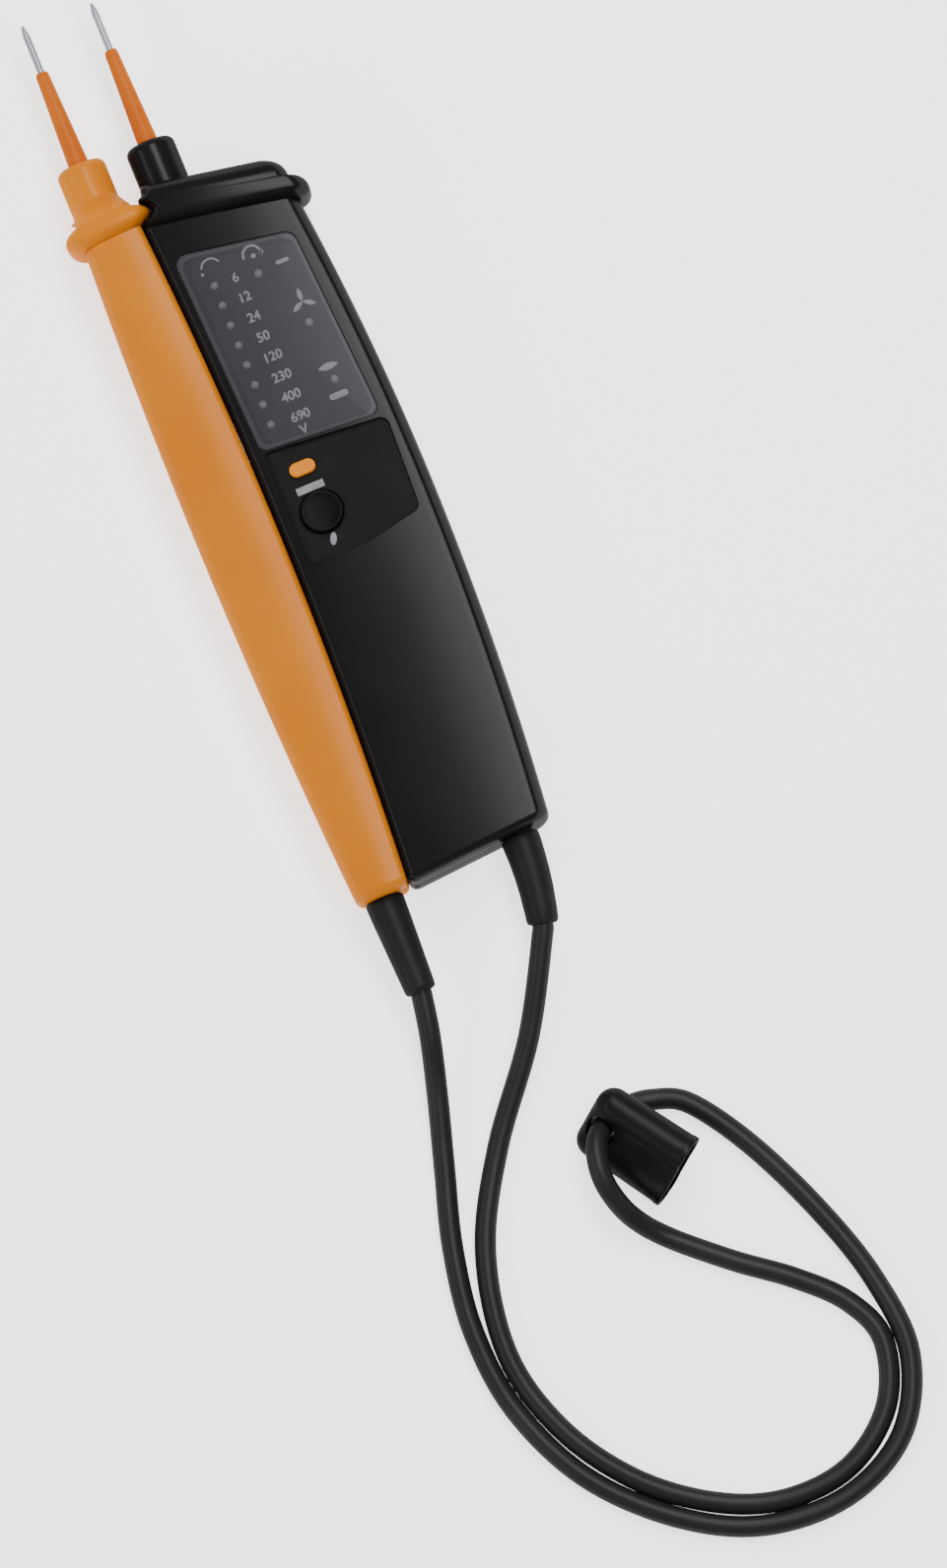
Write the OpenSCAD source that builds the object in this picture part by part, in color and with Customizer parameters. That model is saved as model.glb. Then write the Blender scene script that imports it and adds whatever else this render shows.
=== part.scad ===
// Two-pole voltage tester: a black indicator unit and an orange slave handle docked side by side,
// joined by one cable that carries a cap for the two probe tips. It lies on its back.
// Drawing axes: x across both housings from a datum line along their seam, y towards the probe tips
// from the guard line, z up out of the face. The last step sets the origin under the middle.

/* [Housings] */
// Length of both housings from the guard line to the tail
housing_l = 189; // [175:1:205]
// Thickness of both housings from the back to the face
housing_t = 26; // [25:0.5:30]
// Widest reach of the indicator housing from the datum line
indicator_w = 43.3; // [43:0.1:46]
// Widest reach of the slave handle from the datum line
handle_w = 20.4; // [20:0.1:23]
// Wall thickness of the shells
wall = 2.4; // [2:0.1:2.6]
// Bow of the seam between the two housings
seam_bow = 3.4; // [2:0.1:4]
// Drop of the indicator's outer edge from its widest place to the tail
indicator_bow = 5.4; // [4:0.1:6]
// Drop of the handle's outer edge from its widest place to the tail
handle_bow = 3.3; // [2:0.1:4]

/* [Guards and noses] */
// Reach of a finger guard past its housing at the sides
guard_reach = 4; // [3:0.1:4.1]
// Height of a finger guard above the face
guard_front = 3; // [2:0.1:4]
// Half of a guard bead's length along the housing
guard_r = 3; // [2.5:0.1:3.2]
// Slope of the indicator's guard across its width
guard_slope = 0.184; // [0.1:0.002:0.2]
// Radius of the two round necks
neck_r = 6.65; // [6:0.1:6.8]
// Height of the neck ends above the guard line
neck_top = 19.4; // [18:0.1:22]
// Lead of the handle's neck and probe over the indicator's
handle_lead = 1.3; // [0:0.1:2]
// Height of the indicator's shoulder above its guard
shoulder_h = 5.8; // [5:0.1:7]

/* [Probes] */
// Distance between the two docked probes, the pin spacing of a mains socket
probe_spacing = 19; // [18.8:0.1:19.4]
// Radius of the steel probe tips
tip_r = 1; // [0.9:0.05:1.2]
// Bare length of a probe tip with its point
tip_l = 13.5; // [12:0.5:19]
// Length of the conical point
tip_point = 3; // [2:0.5:4]
// Length of the insulating sleeve outside the neck
sleeve_l = 26.6; // [22:0.2:32]
// Radius of the sleeve where it leaves the neck
sleeve_r = 2.75; // [2.5:0.05:3]
// Radius of the sleeve at the bare tip
sleeve_end_r = 1.7; // [1.5:0.05:1.9]

/* [Display and keys] */
// Thickness of the smoke window
window_t = 1.4; // [1:0.1:1.5]
// Radius of a lamp
lamp_r = 1.3; // [1:0.05:1.5]
// Depth of the control panel below the face
panel_recess = 1; // [0.6:0.1:1.1]
// Radius of the round push button
button_r = 5.7; // [5:0.1:6]
// Travel of the round push button
button_travel = 1; // [0.6:0.1:1]
// Length of the pill-shaped key
key_l = 7.2; // [6.6:0.1:8]
// Width of the pill-shaped key
key_w = 3.8; // [3.4:0.1:4.4]
// Travel of the pill-shaped key
key_travel = 0.8; // [0.5:0.1:0.8]

/* [Cable and boots] */
// Radius of the cable
cable_r = 2.8; // [2.6:0.05:2.9]
// Length of the boots outside the housings
boot_l = 26.5; // [25:0.5:27]
// Radius of a boot at its housing
boot_r = 5.25; // [5:0.05:5.5]
// Radius of a boot at the cable
boot_end_r = 4.2; // [3.8:0.05:4.5]

/* [Tip cap] */
// Length of the tip cap
cap_l = 28.3; // [26:0.1:32]
// Width of the cap across its two barrels
cap_w = 23.5; // [23:0.1:26]
// Radius of a barrel at the open end
cap_r = 5.5; // [5.2:0.05:6]
// Wall of the cap
cap_wall = 1.1; // [0.9:0.05:1.4]
// Depth of the cap's pocket
cap_pocket = 16.5; // [12:0.5:17]
// Radius of the hole for the cable across the cap
cap_hole_r = 3.6; // [3.4:0.05:3.8]

/* [Hidden] */
$fn = 48;

// Clearance between pieces of one body, between two bodies, and the overrun of cuts
fit_gap = 0.1;
body_gap = 0.3;
overrun = 1;

// Colours
black = "#262628";
rubber = "#303032";
orange = "#D9822B";
sleeve_orange = "#D8752C";
smoke = "#4A4A52";
steel = "#C9CCD0";
green = "#2F6B45";
lamp_grey = "#9A9AA6";
smoke_alpha = 0.6;

// Shape of the long edges: where each edge reaches out most, as shares of the housing length
seam_mid = 0.9;
seam_peak_share = 0.5;
side_peak_share = 0.487;
handle_peak_share = 0.423;
seam_peak = housing_l * seam_peak_share;
side_peak = housing_l * side_peak_share;
handle_peak = housing_l * handle_peak_share;
side_top_share = 1.07;
handle_top_share = 0.55;
tail_slope = 0.077;
tail_round = 2.4;
stations = 11;
round_steps = 3;
arc_steps = 4;

// Corner radii of the sections, across and up
side_corner = [3, 10];
side_foot = [3.5, 9];
seam_corner = [2.6, 3.6];
seam_foot = [1.5, 1.5];
grip_corner = [3.8, 8];
grip_foot = [3.5, 8];
grip_seam_corner = [1.6, 2.2];
least_corner = 0.4;

parting_z = housing_t / 2;
axis_z = housing_t / 2;
guard_y0 = -0.25;
handle_guard_y = 1.4;
handle_guard_slope = 0.045;
handle_probe_x = -11.4;
indicator_probe_x = handle_probe_x + probe_spacing;
handle_boot_x = -10;
boot_place_share = 0.67;
indicator_boot_x = indicator_w * boot_place_share;

// Origin under the middle of the tester: half of its reach to the left and right, tail and tips
middle_x = (indicator_w - (-handle_x(0)) - guard_reach) / 2;
middle_y = (neck_top + sleeve_l + tip_l - housing_l - boot_l) / 2;

// Distance out of a bowed edge at y
function bow(y, out, top_drop, tail_drop, peak) =
    out - (y > -peak ? top_drop * pow((y + peak) / peak, 2)
                     : tail_drop * pow((y + peak) / (housing_l - peak), 2));
function seam_x(y) = bow(y, seam_mid, seam_bow, seam_bow, seam_peak);
function side_x(y) = bow(y, indicator_w, indicator_bow * side_top_share, indicator_bow, side_peak);
function handle_x(y) = -bow(y, handle_w, handle_bow * handle_top_share, handle_bow, handle_peak);
function guard_y(x) = guard_y0 - guard_slope * x;
function tail_y(x) = -housing_l + tail_slope * x;
function lerp(a, b, t) = a + (b - a) * t;
function shrink(corner, inset) =
    [max(corner[0] - inset, least_corner), max(corner[1] - inset, least_corner)];

// A quarter of an ellipse, and a closed section in x and z with four corners; a corner of 0 is square
function corner_arc(cx, cz, c, from) =
    c[0] == 0 ? [[cx, cz]]
              : [for (i = [0:arc_steps]) let (a = from + 90 * i / arc_steps)
                    [cx + c[0] * cos(a), cz + c[1] * sin(a)]];
function section(left, right, low, high, foot_l, foot_r, top_r, top_l) = concat(
    corner_arc(right - foot_r[0], low + foot_r[1], foot_r, 270),
    corner_arc(right - top_r[0], high - top_r[1], top_r, 0),
    corner_arc(left + top_l[0], high - top_l[1], top_l, 90),
    corner_arc(left + foot_l[0], low + foot_l[1], foot_l, 180));
square_corner = [0, 0];

// A section set at y, in a plane that leans along x
function placed(points, y, slope) = [for (p = points) [p[0], y + slope * p[0], p[1]]];

// Distances from the tail and insets that round the tail's edge, then even steps to the top
function tail_steps() = concat(
    [for (i = [0:round_steps]) let (a = 90 * i / round_steps)
        [tail_round * (1 - cos(a)), tail_round * (1 - sin(a))]],
    [for (i = [1:stations]) [-1, i / stations]]);

// A closed solid through rings of equal counts, from low y to high y
module loft(rings) {
    n = len(rings[0]);
    m = len(rings);
    sides = [for (k = [0:m - 2]) for (i = [0:n - 1]) let (j = (i + 1) % n)
        each [[k * n + i, k * n + j, (k + 1) * n + j], [k * n + i, (k + 1) * n + j, (k + 1) * n + i]]];
    polyhedron([for (r = rings) each r],
        concat([[for (i = [n - 1:-1:0]) i]], sides, [[for (i = [0:n - 1]) (m - 1) * n + i]]), convexity = 6);
}

// Rings of a shell: inset moves the walls in, cut is how far the first ring stands off the tail
function indicator_rings(low, high, inset, front, first, last) = [
    for (s = tail_steps())
        let (share = s[0] < 0 ? s[1] : 0,
             step_in = s[0] < 0 ? 0 : s[1],
             from_tail = s[0] < 0 ? tail_round : s[0],
             y0 = lerp(tail_y(0) + first + from_tail, guard_y(0) - guard_r - fit_gap + last, share),
             slope = lerp(tail_slope, -guard_slope, share),
             y1 = y0 + slope * indicator_w,
             k = inset + step_in)
        placed(section(seam_x(y0) + body_gap / 2 + k, side_x(y1) - k,
            low + (front ? 0 : step_in), high - (front ? step_in : 0),
            front ? square_corner : shrink(seam_foot, inset),
            front ? square_corner : shrink(side_foot, inset),
            front ? shrink(side_corner, inset) : square_corner,
            front ? shrink(seam_corner, inset) : square_corner), y0, slope)];
function handle_rings(low, high, inset, front, first, last) = [
    for (s = tail_steps())
        let (share = s[0] < 0 ? s[1] : 0,
             step_in = s[0] < 0 ? 0 : s[1],
             from_tail = s[0] < 0 ? tail_round : s[0],
             y0 = lerp(-housing_l + first + from_tail, handle_guard_y - guard_r - fit_gap + last, share),
             slope = handle_guard_slope * share,
             k = inset + step_in)
        placed(section(handle_x(y0) + k, seam_x(y0) - body_gap / 2 - k,
            low + (front ? 0 : step_in), high - (front ? step_in : 0),
            front ? square_corner : shrink(grip_foot, inset),
            front ? square_corner : shrink(seam_foot, inset),
            front ? shrink(grip_seam_corner, inset) : square_corner,
            front ? shrink(grip_corner, inset) : square_corner), y0, slope)];

// Outline with rounded corners from its corner points, drawn anticlockwise
corner_steps = 5;
function unit(v) = v / norm(v);
function rounded(points, radii) = [for (i = [0:len(points) - 1])
    let (n = len(points), p = points[i],
         a = unit(points[(i + n - 1) % n] - p), b = unit(points[(i + 1) % n] - p),
         half = acos(a * b) / 2, r = radii[i], c = p + unit(a + b) * r / sin(half),
         start = c - p - a * ((c - p) * a), from = atan2(-start[1], -start[0]), sweep = 180 - 2 * half)
    each [for (k = [0:corner_steps]) let (t = from + sweep * (k / corner_steps)) c + r * [cos(t), sin(t)]]];

// Window and panel outlines, which follow the seam, the outer edge and the guard
window_left = 4.7;
window_right = 5.5;
window_top = 12.8;
window_foot_share = 0.3677;
window_foot_y = -housing_l * window_foot_share;
foot_slope = 0.06;
window_corners = [2.6, 2.6, 3.4, 2.8];
panel_left = 4.1;
panel_right = 4.6;
panel_slant = 1.2;
panel_mid_share = 0.5;
panel_foot_share = 0.5397;
panel_foot_y = -housing_l * panel_foot_share;
panel_corners = [1.6, 1.6, 2.4, 2.6, 1.6];
panel_gap = 0.8;
panel_tuck = 3.2;
ledge = 1.5;
function window_points(inset) =
    let (top = window_top + inset, yl = guard_y(0) - top, yr = guard_y(side_x(yl)) - top,
         foot_l = window_foot_y + inset, foot_r = foot_l - foot_slope * indicator_w,
         left = window_left + inset, right = window_right + inset)
    rounded([[seam_x(foot_l) + left, foot_l - foot_slope * seam_x(foot_l)],
             [side_x(foot_r) - right, foot_r + foot_slope * right],
             [side_x(yr) - right, yr + guard_slope * right],
             [seam_x(yl) + left, yl - guard_slope * left]], window_corners);
function panel_points(inset) =
    let (top_l = window_foot_y - panel_gap - inset, top_r = top_l - foot_slope * indicator_w,
         foot = panel_foot_y + inset, left = panel_left + inset, right = panel_right + inset)
    rounded([[seam_x(foot) + left, foot],
             [indicator_w * panel_mid_share, foot],
             [side_x(foot) - right - panel_slant, foot + panel_tuck],
             [side_x(top_r) - right, top_r],
             [seam_x(top_l) + left, top_l]], panel_corners);

// Heights of the display and the panel
window_low = housing_t - window_t;
legend_t = 0.5;
legend_high = window_low - fit_gap;
panel_t = 0.8;
panel_high = housing_t - panel_recess;
panel_low = panel_high - panel_t;
inner_high = housing_t - wall;

// Circuit board, clear of the battery room under it and of the posts past its foot
board_t = 1.6;
board_lift = 3;
board_low = parting_z + board_lift;
board_high = board_low + board_t;
board_left = 6;
board_inset = 7.9;
board_right = indicator_w - board_inset;
board_top_share = 0.1005;
board_foot_share = 0.5503;
board_top_y = -housing_l * board_top_share;
board_foot_y = -housing_l * board_foot_share;
rib_place_shares = [0.2, 0.93];

// Places on the face, as shares of the housing's length and width: lamps, keys
lamp_x = 9.6;
lamp_first_share = 0.1262;
lamp_pitch_share = 0.0299;
lamp_first_y = -housing_l * lamp_first_share;
lamp_pitch = housing_l * lamp_pitch_share;
lamp_count = 8;
status_shares = [[0.4965, 0.1333], [0.67, 0.2233], [0.681, 0.31]];
status_spots = [for (p = status_shares) [indicator_w * p[0], -housing_l * p[1]]];
key_x = 12.9;
key_share = 0.4095;
key_y = -housing_l * key_share;
button_x = 13.4;
button_share = 0.4757;
button_y = -housing_l * button_share;
switch_w = 6;
switch_h = 2.6;
switch_tip_r = 1.6;
flange_t = 0.6;
flange_w = 0.8;
button_proud = 0.7;
key_proud = 0.2;
stem_r = 1.5;

// Battery room in the back of the indicator, set from the tail
cell_r = 5.25;
cell_l = 44.5;
cell_nub_r = 2.7;
cell_nub_l = 0.9;
cell_gap = 0.6;
door_t = 2;
room_wall = 1.5;
room_w = 2 * (2 * cell_r + cell_gap) + cell_gap;
room_place_share = 0.4988;
room_x = indicator_w * room_place_share - room_w / 2;
contact_t = 0.5;
contact_w = 8;
room_l = cell_l + cell_nub_l + 2 * contact_t + 3 * cell_gap;
room_from_tail = 25.8;
room_top_y = room_from_tail + room_l - housing_l;
room_high = wall + 2 * cell_r + 2 * cell_gap;
door_edge = 1.2;
door_ear = 7;
door_pad = 0.9;
door_seat = 2;

// Screws: radius of shank, head and their seats
screw_r = 1.1;
screw_head_r = 2.3;
screw_head_h = 1.7;
screw_slot_w = 0.7;
screw_slot_h = 0.7;
screw_slot_share = 0.6;
screw_grip = 7;
seat_depth = 3;
nose_seat = 1.9;
post_r = 3.4;
post_left_x = 6.2;
post_inset = 5.9;
tail_post_inset = 9.9;
post_mid_share = 0.574;
post_mid_y = -housing_l * post_mid_share;
tail_post_lifts = [9, 13.2];
indicator_posts = [[post_left_x, post_mid_y], [indicator_w - post_inset, post_mid_y],
    [post_left_x, tail_post_lifts[0] - housing_l],
    [indicator_w - tail_post_inset, tail_post_lifts[1] - housing_l]];
handle_post_x = -10.5;
handle_post_shares = [0.3175, 0.7937];
handle_posts = [for (s = handle_post_shares) [handle_post_x, -housing_l * s]];
nose_screw_in = 3.4;
nose_screw_share = 0.508;
nose_screw_x = indicator_w * nose_screw_share;
indicator_nose_screw = [nose_screw_x, guard_y(nose_screw_x) - guard_r - nose_screw_in];
handle_nose_screw = [handle_probe_x, handle_guard_y - guard_r - nose_screw_in];
spigot_l = 7;
spigot_in = 3;

// Docking pegs
peg_r = 2;
peg_reach = 4;
peg_root = 1.5;
peg_flange_r = 3.2;
peg_shares = [0.17, 0.836];
peg_places_y = [for (s = peg_shares) -housing_l * s];

// Seats of the two boots
boot_neck_r = 3.9;
boot_flange_r = 4.6;
boot_flange_t = 1.5;
boot_round = 1.4;
boot_bevel = 0.42;
boot_start_in = 0.56;
boot_tip_in = 0.7;
boot_sides = 20;
boot_steps_shares = [0, 0.25, 0.5, 0.75, 0.92, 1];
boot_end_in = 2.9;
boot_end_drop = 1.1;
boot_end_back = 2.6;

module set_up() {
    translate([-middle_x, -middle_y, 0]) children();
}
module at_axis(x, y) {
    translate([x, y, axis_z]) rotate([-90, 0, 0]) children();
}

// Post with a through hole and a seat for the head, open at the back, as a solid and as its cut
module back_post(place) {
    translate([place[0], place[1], wall / 2]) cylinder(r = post_r, h = parting_z - wall / 2 - fit_gap / 2);
}
module back_post_cut(place, seat = seat_depth) {
    translate([place[0], place[1], -overrun]) {
        cylinder(r = screw_head_r + fit_gap, h = seat + overrun);
        cylinder(r = screw_r + fit_gap, h = parting_z + 2 * overrun);
    }
}
module front_post(place) {
    translate([place[0], place[1], parting_z + fit_gap / 2]) difference() {
        cylinder(r = post_r, h = housing_t - parting_z - wall / 2);
        translate([0, 0, -overrun]) cylinder(r = screw_r + fit_gap, h = screw_grip + 2 * overrun);
    }
}
module screw(place, length, seat = seat_depth) {
    translate([place[0], place[1], seat - fit_gap]) {
        cylinder(r = screw_r, h = length);
        translate([0, 0, -screw_head_h]) difference() {
            cylinder(r = screw_head_r, h = screw_head_h);
            for (a = [0, 90]) rotate([0, 0, a])
                translate([-screw_head_r * screw_slot_share, -screw_slot_w / 2, -overrun])
                    cube([2 * screw_head_r * screw_slot_share, screw_slot_w, screw_slot_h + overrun]);
        }
    }
}
module boot_seat(x, y) {
    at_axis(x, y - overrun) cylinder(r = boot_neck_r + fit_gap, h = wall + tail_round + 2 * overrun);
}
module peg_holes(r) {
    for (y = peg_places_y) translate([seam_x(y), y, axis_z])
        rotate([0, 90, 0]) translate([0, 0, -wall - overrun]) cylinder(r = r, h = 2 * (wall + overrun));
}

// Indicator shells
module indicator_front_shell() set_up() color(black) {
    difference() {
        loft(indicator_rings(parting_z + fit_gap / 2, housing_t, 0, true, 0, 0));
        loft(indicator_rings(parting_z - overrun, inner_high, wall, true, wall, overrun));
        translate([0, 0, window_low - fit_gap]) linear_extrude(window_t + overrun)
            polygon(window_points(-fit_gap));
        linear_extrude(housing_t) polygon(window_points(ledge));
        translate([0, 0, panel_low - fit_gap]) linear_extrude(housing_t) polygon(panel_points(-fit_gap));
        linear_extrude(housing_t) polygon(panel_points(ledge));
        boot_seat(indicator_boot_x, tail_y(indicator_boot_x));
        peg_holes(peg_r + body_gap);
    }
    for (p = indicator_posts) front_post(p);
}
module indicator_back_shell() set_up() color(black) {
    difference() {
        union() {
            difference() {
                loft(indicator_rings(0, parting_z - fit_gap / 2, 0, false, 0, 0));
                loft(indicator_rings(wall, parting_z + overrun, wall, false, wall, overrun));
            }
            for (p = indicator_posts) back_post(p);
            translate([door_screw_place[0], door_screw_place[1], wall + door_pad])
                cylinder(r = post_r, h = screw_grip + door_pad);
            battery_room(0);
            for (s = rib_place_shares)
                translate([board_left, lerp(board_top_y, board_foot_y, s), wall / 2])
                    cube([board_right - board_left, room_wall, board_low - fit_gap - wall / 2]);
        }
        battery_room(room_wall);
        door_outline(body_gap / 2, -overrun, wall + 2 * overrun);
        for (p = indicator_posts) back_post_cut(p);
        translate([door_screw_place[0], door_screw_place[1], wall])
            cylinder(r = screw_r + fit_gap, h = screw_grip + door_pad);
        back_post_cut(indicator_nose_screw, nose_seat);
        boot_seat(indicator_boot_x, tail_y(indicator_boot_x));
        peg_holes(peg_r + body_gap);
    }
}

// Box round the two cells: the whole block, or with an inset the hollow in it, open at the back
module battery_room(inset) {
    translate([room_x - room_wall + inset, room_top_y - room_l - room_wall + inset,
        inset > 0 ? -overrun : wall / 2])
        cube([room_w + 2 * (room_wall - inset), room_l + 2 * (room_wall - inset),
            room_high + room_wall - inset + (inset > 0 ? overrun : -wall / 2)]);
}

// Noses: a finger guard bead, a shoulder and a round neck on one piece, with a spigot into the housing
bead_steps = 6;
bead_angles = [for (i = [0:bead_steps]) -90 + 180 * i / bead_steps];
guard_rise_shares = [0, 0.5, 0.87, 1, 0.88, 0.72, 0.65];
shoulder_shares = [[0.1, 0.02], [0.22, 0.05], [0.34, 0.1], [0.62, 0.24], [0.86, 0.48], [1, 1]];
shoulder_in = 5.2;
// Left edge of the black nose, which runs round the end of the orange guard
guard_left = [-2, -2, -1.6, 0.95, 1.7, 1.5, 1.2];
shoulder_left = [0.55, -0.7, -0.6, 0.7, 0.9, 1.2];
nose_round = [3, 7];
corner_grow_share = 0.3;
function nose_corner(grow) = [for (k = nose_round) k + grow * corner_grow_share];
module indicator_nose() set_up() color(black) difference() {
    union() {
        loft(concat(
            [for (i = [0:bead_steps])
                let (a = bead_angles[i], y = guard_y0 + guard_r * sin(a), grow = guard_reach * cos(a))
                placed(section(guard_left[i], side_x(guard_y(indicator_w)) + grow,
                    0, housing_t + guard_front * guard_rise_shares[i],
                    seam_foot, seam_foot, nose_corner(grow), nose_corner(0)), y, -guard_slope)],
            [for (i = [0:len(shoulder_shares) - 1])
                let (s = shoulder_shares[i], y = guard_y0 + guard_r + shoulder_h * s[0],
                     in = shoulder_in * s[1],
                     rise = guard_front * guard_rise_shares[bead_steps] * (1 - s[0]))
                placed(section(shoulder_left[i], side_x(guard_y(indicator_w)) - in, in, housing_t + rise - in,
                    nose_corner(0), nose_corner(0), nose_corner(0), nose_corner(0)), y, -guard_slope)]));
        neck(indicator_probe_x, guard_r, neck_top);
        loft([for (y = [-guard_r - spigot_l, -guard_r + overrun])
            placed(section(seam_x(0) + wall + spigot_in,
                side_x(guard_y(indicator_w) - guard_r - spigot_l) - wall - spigot_in,
                wall + fit_gap, inner_high - fit_gap,
                seam_corner, seam_corner, side_corner, seam_corner), guard_y0 + y, -guard_slope)]);
    }
    probe_bore(indicator_probe_x, guard_y(indicator_probe_x) - guard_r - spigot_l, neck_top);
    nose_screw_cut(indicator_nose_screw);
}
module neck(x, from, top) {
    at_axis(x, from) rotate_extrude() polygon(concat([[0, 0], [neck_r, 0]],
        [for (i = [0:arc_steps]) let (a = 90 * i / arc_steps)
            [neck_r - neck_round + neck_round * cos(a), top - from - neck_round + neck_round * sin(a)]],
        [[0, top - from]]));
}
neck_round = 2.2;
sleeve_root = 13;
module probe_bore(x, from, top) {
    at_axis(x, from - overrun) cylinder(r = core_r + fit_gap, h = top - from + 2 * overrun);
    at_axis(x, top - sleeve_root) cylinder(r = sleeve_r + fit_gap, h = sleeve_root + overrun);
}
module nose_screw_cut(place) {
    translate([place[0], place[1], 0]) cylinder(r = screw_r + fit_gap, h = seat_depth + screw_grip + overrun);
}
flare_shares = [[0.12, 0.18], [0.35, 0.4], [0.65, 0.72], [1, 1]];
flare_h = 6.5;
guard_point_power = 1.6;
neck_step = 0.5;
flare_end_r = neck_r - neck_step;
flare_z = housing_t + guard_front * guard_rise_shares[bead_steps];
module handle_nose() set_up() color(orange) difference() {
    union() {
        loft(concat(
            [for (i = [0:bead_steps])
                let (a = bead_angles[i], y = handle_guard_y + guard_r * sin(a), grow = guard_reach * cos(a),
                     point = guard_reach * pow(max(cos(a), 0), guard_point_power))
                placed(section(handle_x(0) - grow, seam_x(0) - body_gap / 2 + point,
                    0, housing_t + guard_front * guard_rise_shares[i],
                    seam_foot, seam_foot, nose_corner(grow), nose_corner(grow)), y, handle_guard_slope)],
            [for (s = flare_shares)
                let (y = handle_guard_y + guard_r + flare_h * s[0],
                     c = [for (k = nose_corner(0)) lerp(k, flare_end_r, s[1])])
                placed(section(lerp(handle_x(0), handle_probe_x - flare_end_r, s[1]),
                    lerp(seam_x(0) - body_gap / 2, handle_probe_x + flare_end_r, s[1]),
                    lerp(0, axis_z - flare_end_r, s[1]), lerp(flare_z, axis_z + flare_end_r, s[1]),
                    c, c, c, c), y, handle_guard_slope * (1 - s[1]))]));
        neck(handle_probe_x, handle_guard_y + guard_r, neck_top + handle_lead);
        loft([for (y = [-guard_r - spigot_l, -guard_r + overrun])
            placed(section(handle_x(0) + wall + spigot_in, seam_x(0) - wall - spigot_in / 2,
                wall + fit_gap, inner_high - fit_gap,
                seam_foot, seam_foot, seam_foot, seam_foot), handle_guard_y + y, 0)]);
    }
    probe_bore(handle_probe_x, handle_guard_y - guard_r - spigot_l, neck_top + handle_lead);
    nose_screw_cut(handle_nose_screw);
}

// Insulating sleeves and steel probes: a core in the sleeve and a thinner bare tip, set from the neck's top
core_r = 1.25;
sleeve_mouth_r = 1.5;
tip_blunt_share = 0.2;
probe_tail = 4;
module sleeve(x, top) {
    at_axis(x, top - sleeve_root + fit_gap) rotate_extrude() polygon([
        [core_r + fit_gap, 0], [sleeve_r, 0], [sleeve_r, sleeve_root],
        [sleeve_end_r, sleeve_root + sleeve_l - 2 * (sleeve_end_r - sleeve_mouth_r)],
        [sleeve_mouth_r, sleeve_root + sleeve_l - fit_gap],
        [core_r + fit_gap, sleeve_root + sleeve_l - fit_gap]]);
}
module probe(x, from, top) {
    tip_root = top + sleeve_l + fit_gap;
    at_axis(x, from - probe_tail) cylinder(r = core_r, h = tip_root - from + probe_tail);
    at_axis(x, tip_root) cylinder(r = tip_r, h = tip_l - tip_point - fit_gap);
    at_axis(x, top + sleeve_l + tip_l - tip_point)
        cylinder(r1 = tip_r, r2 = tip_r * tip_blunt_share, h = tip_point);
}
module indicator_sleeve() set_up() color(sleeve_orange) sleeve(indicator_probe_x, neck_top);
module handle_sleeve() set_up() color(sleeve_orange) sleeve(handle_probe_x, neck_top + handle_lead);
module indicator_probe() set_up() color(steel)
    probe(indicator_probe_x, guard_y(indicator_probe_x) - guard_r - spigot_l, neck_top);
module handle_probe() set_up() color(steel)
    probe(handle_probe_x, handle_guard_y - guard_r - spigot_l, neck_top + handle_lead);

// Display
module display_window() set_up() color(smoke, smoke_alpha)
    translate([0, 0, window_low]) linear_extrude(window_t) polygon(window_points(0));
module legend_plate() set_up() color(black) difference() {
    translate([0, 0, legend_high - legend_t]) linear_extrude(legend_t)
        polygon(window_points(ledge + fit_gap));
    lamps_at(level_spots, lamp_r + fit_gap);
    lamps_at(status_spots, lamp_r + fit_gap);
}
level_spots = [for (i = [0:lamp_count - 1]) [lamp_x, lamp_first_y - lamp_pitch * i]];
module lamps_at(spots, r) {
    for (p = spots) translate([p[0], p[1], board_high]) cylinder(r = r, h = housing_t);
}
module lamps(spots) {
    for (p = spots) translate([p[0], p[1], board_high]) {
        cylinder(r = lamp_r, h = legend_high - board_high - lamp_r);
        translate([0, 0, legend_high - board_high - lamp_r]) sphere(r = lamp_r);
    }
}
module level_lamps() set_up() color(lamp_grey) lamps(level_spots);
module status_lamps() set_up() color(lamp_grey) lamps(status_spots);

// Control panel, its two keys and their switches
module pill(length, width) {
    hull_w = length - width;
    translate([-hull_w / 2, -width / 2]) square([hull_w, width]);
    for (s = [-1, 1]) translate([s * hull_w / 2, 0]) circle(r = width / 2);
}
module control_panel() set_up() color(rubber) difference() {
    translate([0, 0, panel_low]) linear_extrude(panel_t) polygon(panel_points(0));
    translate([button_x, button_y, 0]) cylinder(r = button_r + body_gap, h = housing_t);
    translate([key_x, key_y, 0]) linear_extrude(housing_t) pill(key_l + 2 * body_gap, key_w + 2 * body_gap);
}
module round_button() set_up() color(black) translate([button_x, button_y, 0]) {
    translate([0, 0, panel_low - body_gap])
        cylinder(r = button_r, h = housing_t + button_proud - panel_low + body_gap);
    translate([0, 0, panel_low - body_gap - flange_t]) cylinder(r = button_r + flange_w, h = flange_t);
    stem(button_travel);
}
module stem(travel) {
    low = board_high + switch_h + travel + fit_gap;
    translate([0, 0, low]) cylinder(r = stem_r, h = panel_low - body_gap - low);
}
module orange_key() set_up() color(orange) translate([key_x, key_y, 0]) {
    translate([0, 0, panel_low - body_gap])
        linear_extrude(housing_t + key_proud - panel_low + body_gap) pill(key_l, key_w);
    translate([0, 0, panel_low - body_gap - flange_t])
        linear_extrude(flange_t) pill(key_l + 2 * flange_w, key_w + 2 * flange_w);
    stem(key_travel);
}
switch_body_share = 0.8;
module key_switches() set_up() color(steel)
    for (p = [[button_x, button_y], [key_x, key_y]]) translate([p[0], p[1], board_high]) {
        translate([-switch_w / 2, -switch_w / 2, 0]) cube([switch_w, switch_w, switch_h * switch_body_share]);
        cylinder(r = switch_tip_r, h = switch_h);
    }

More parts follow.
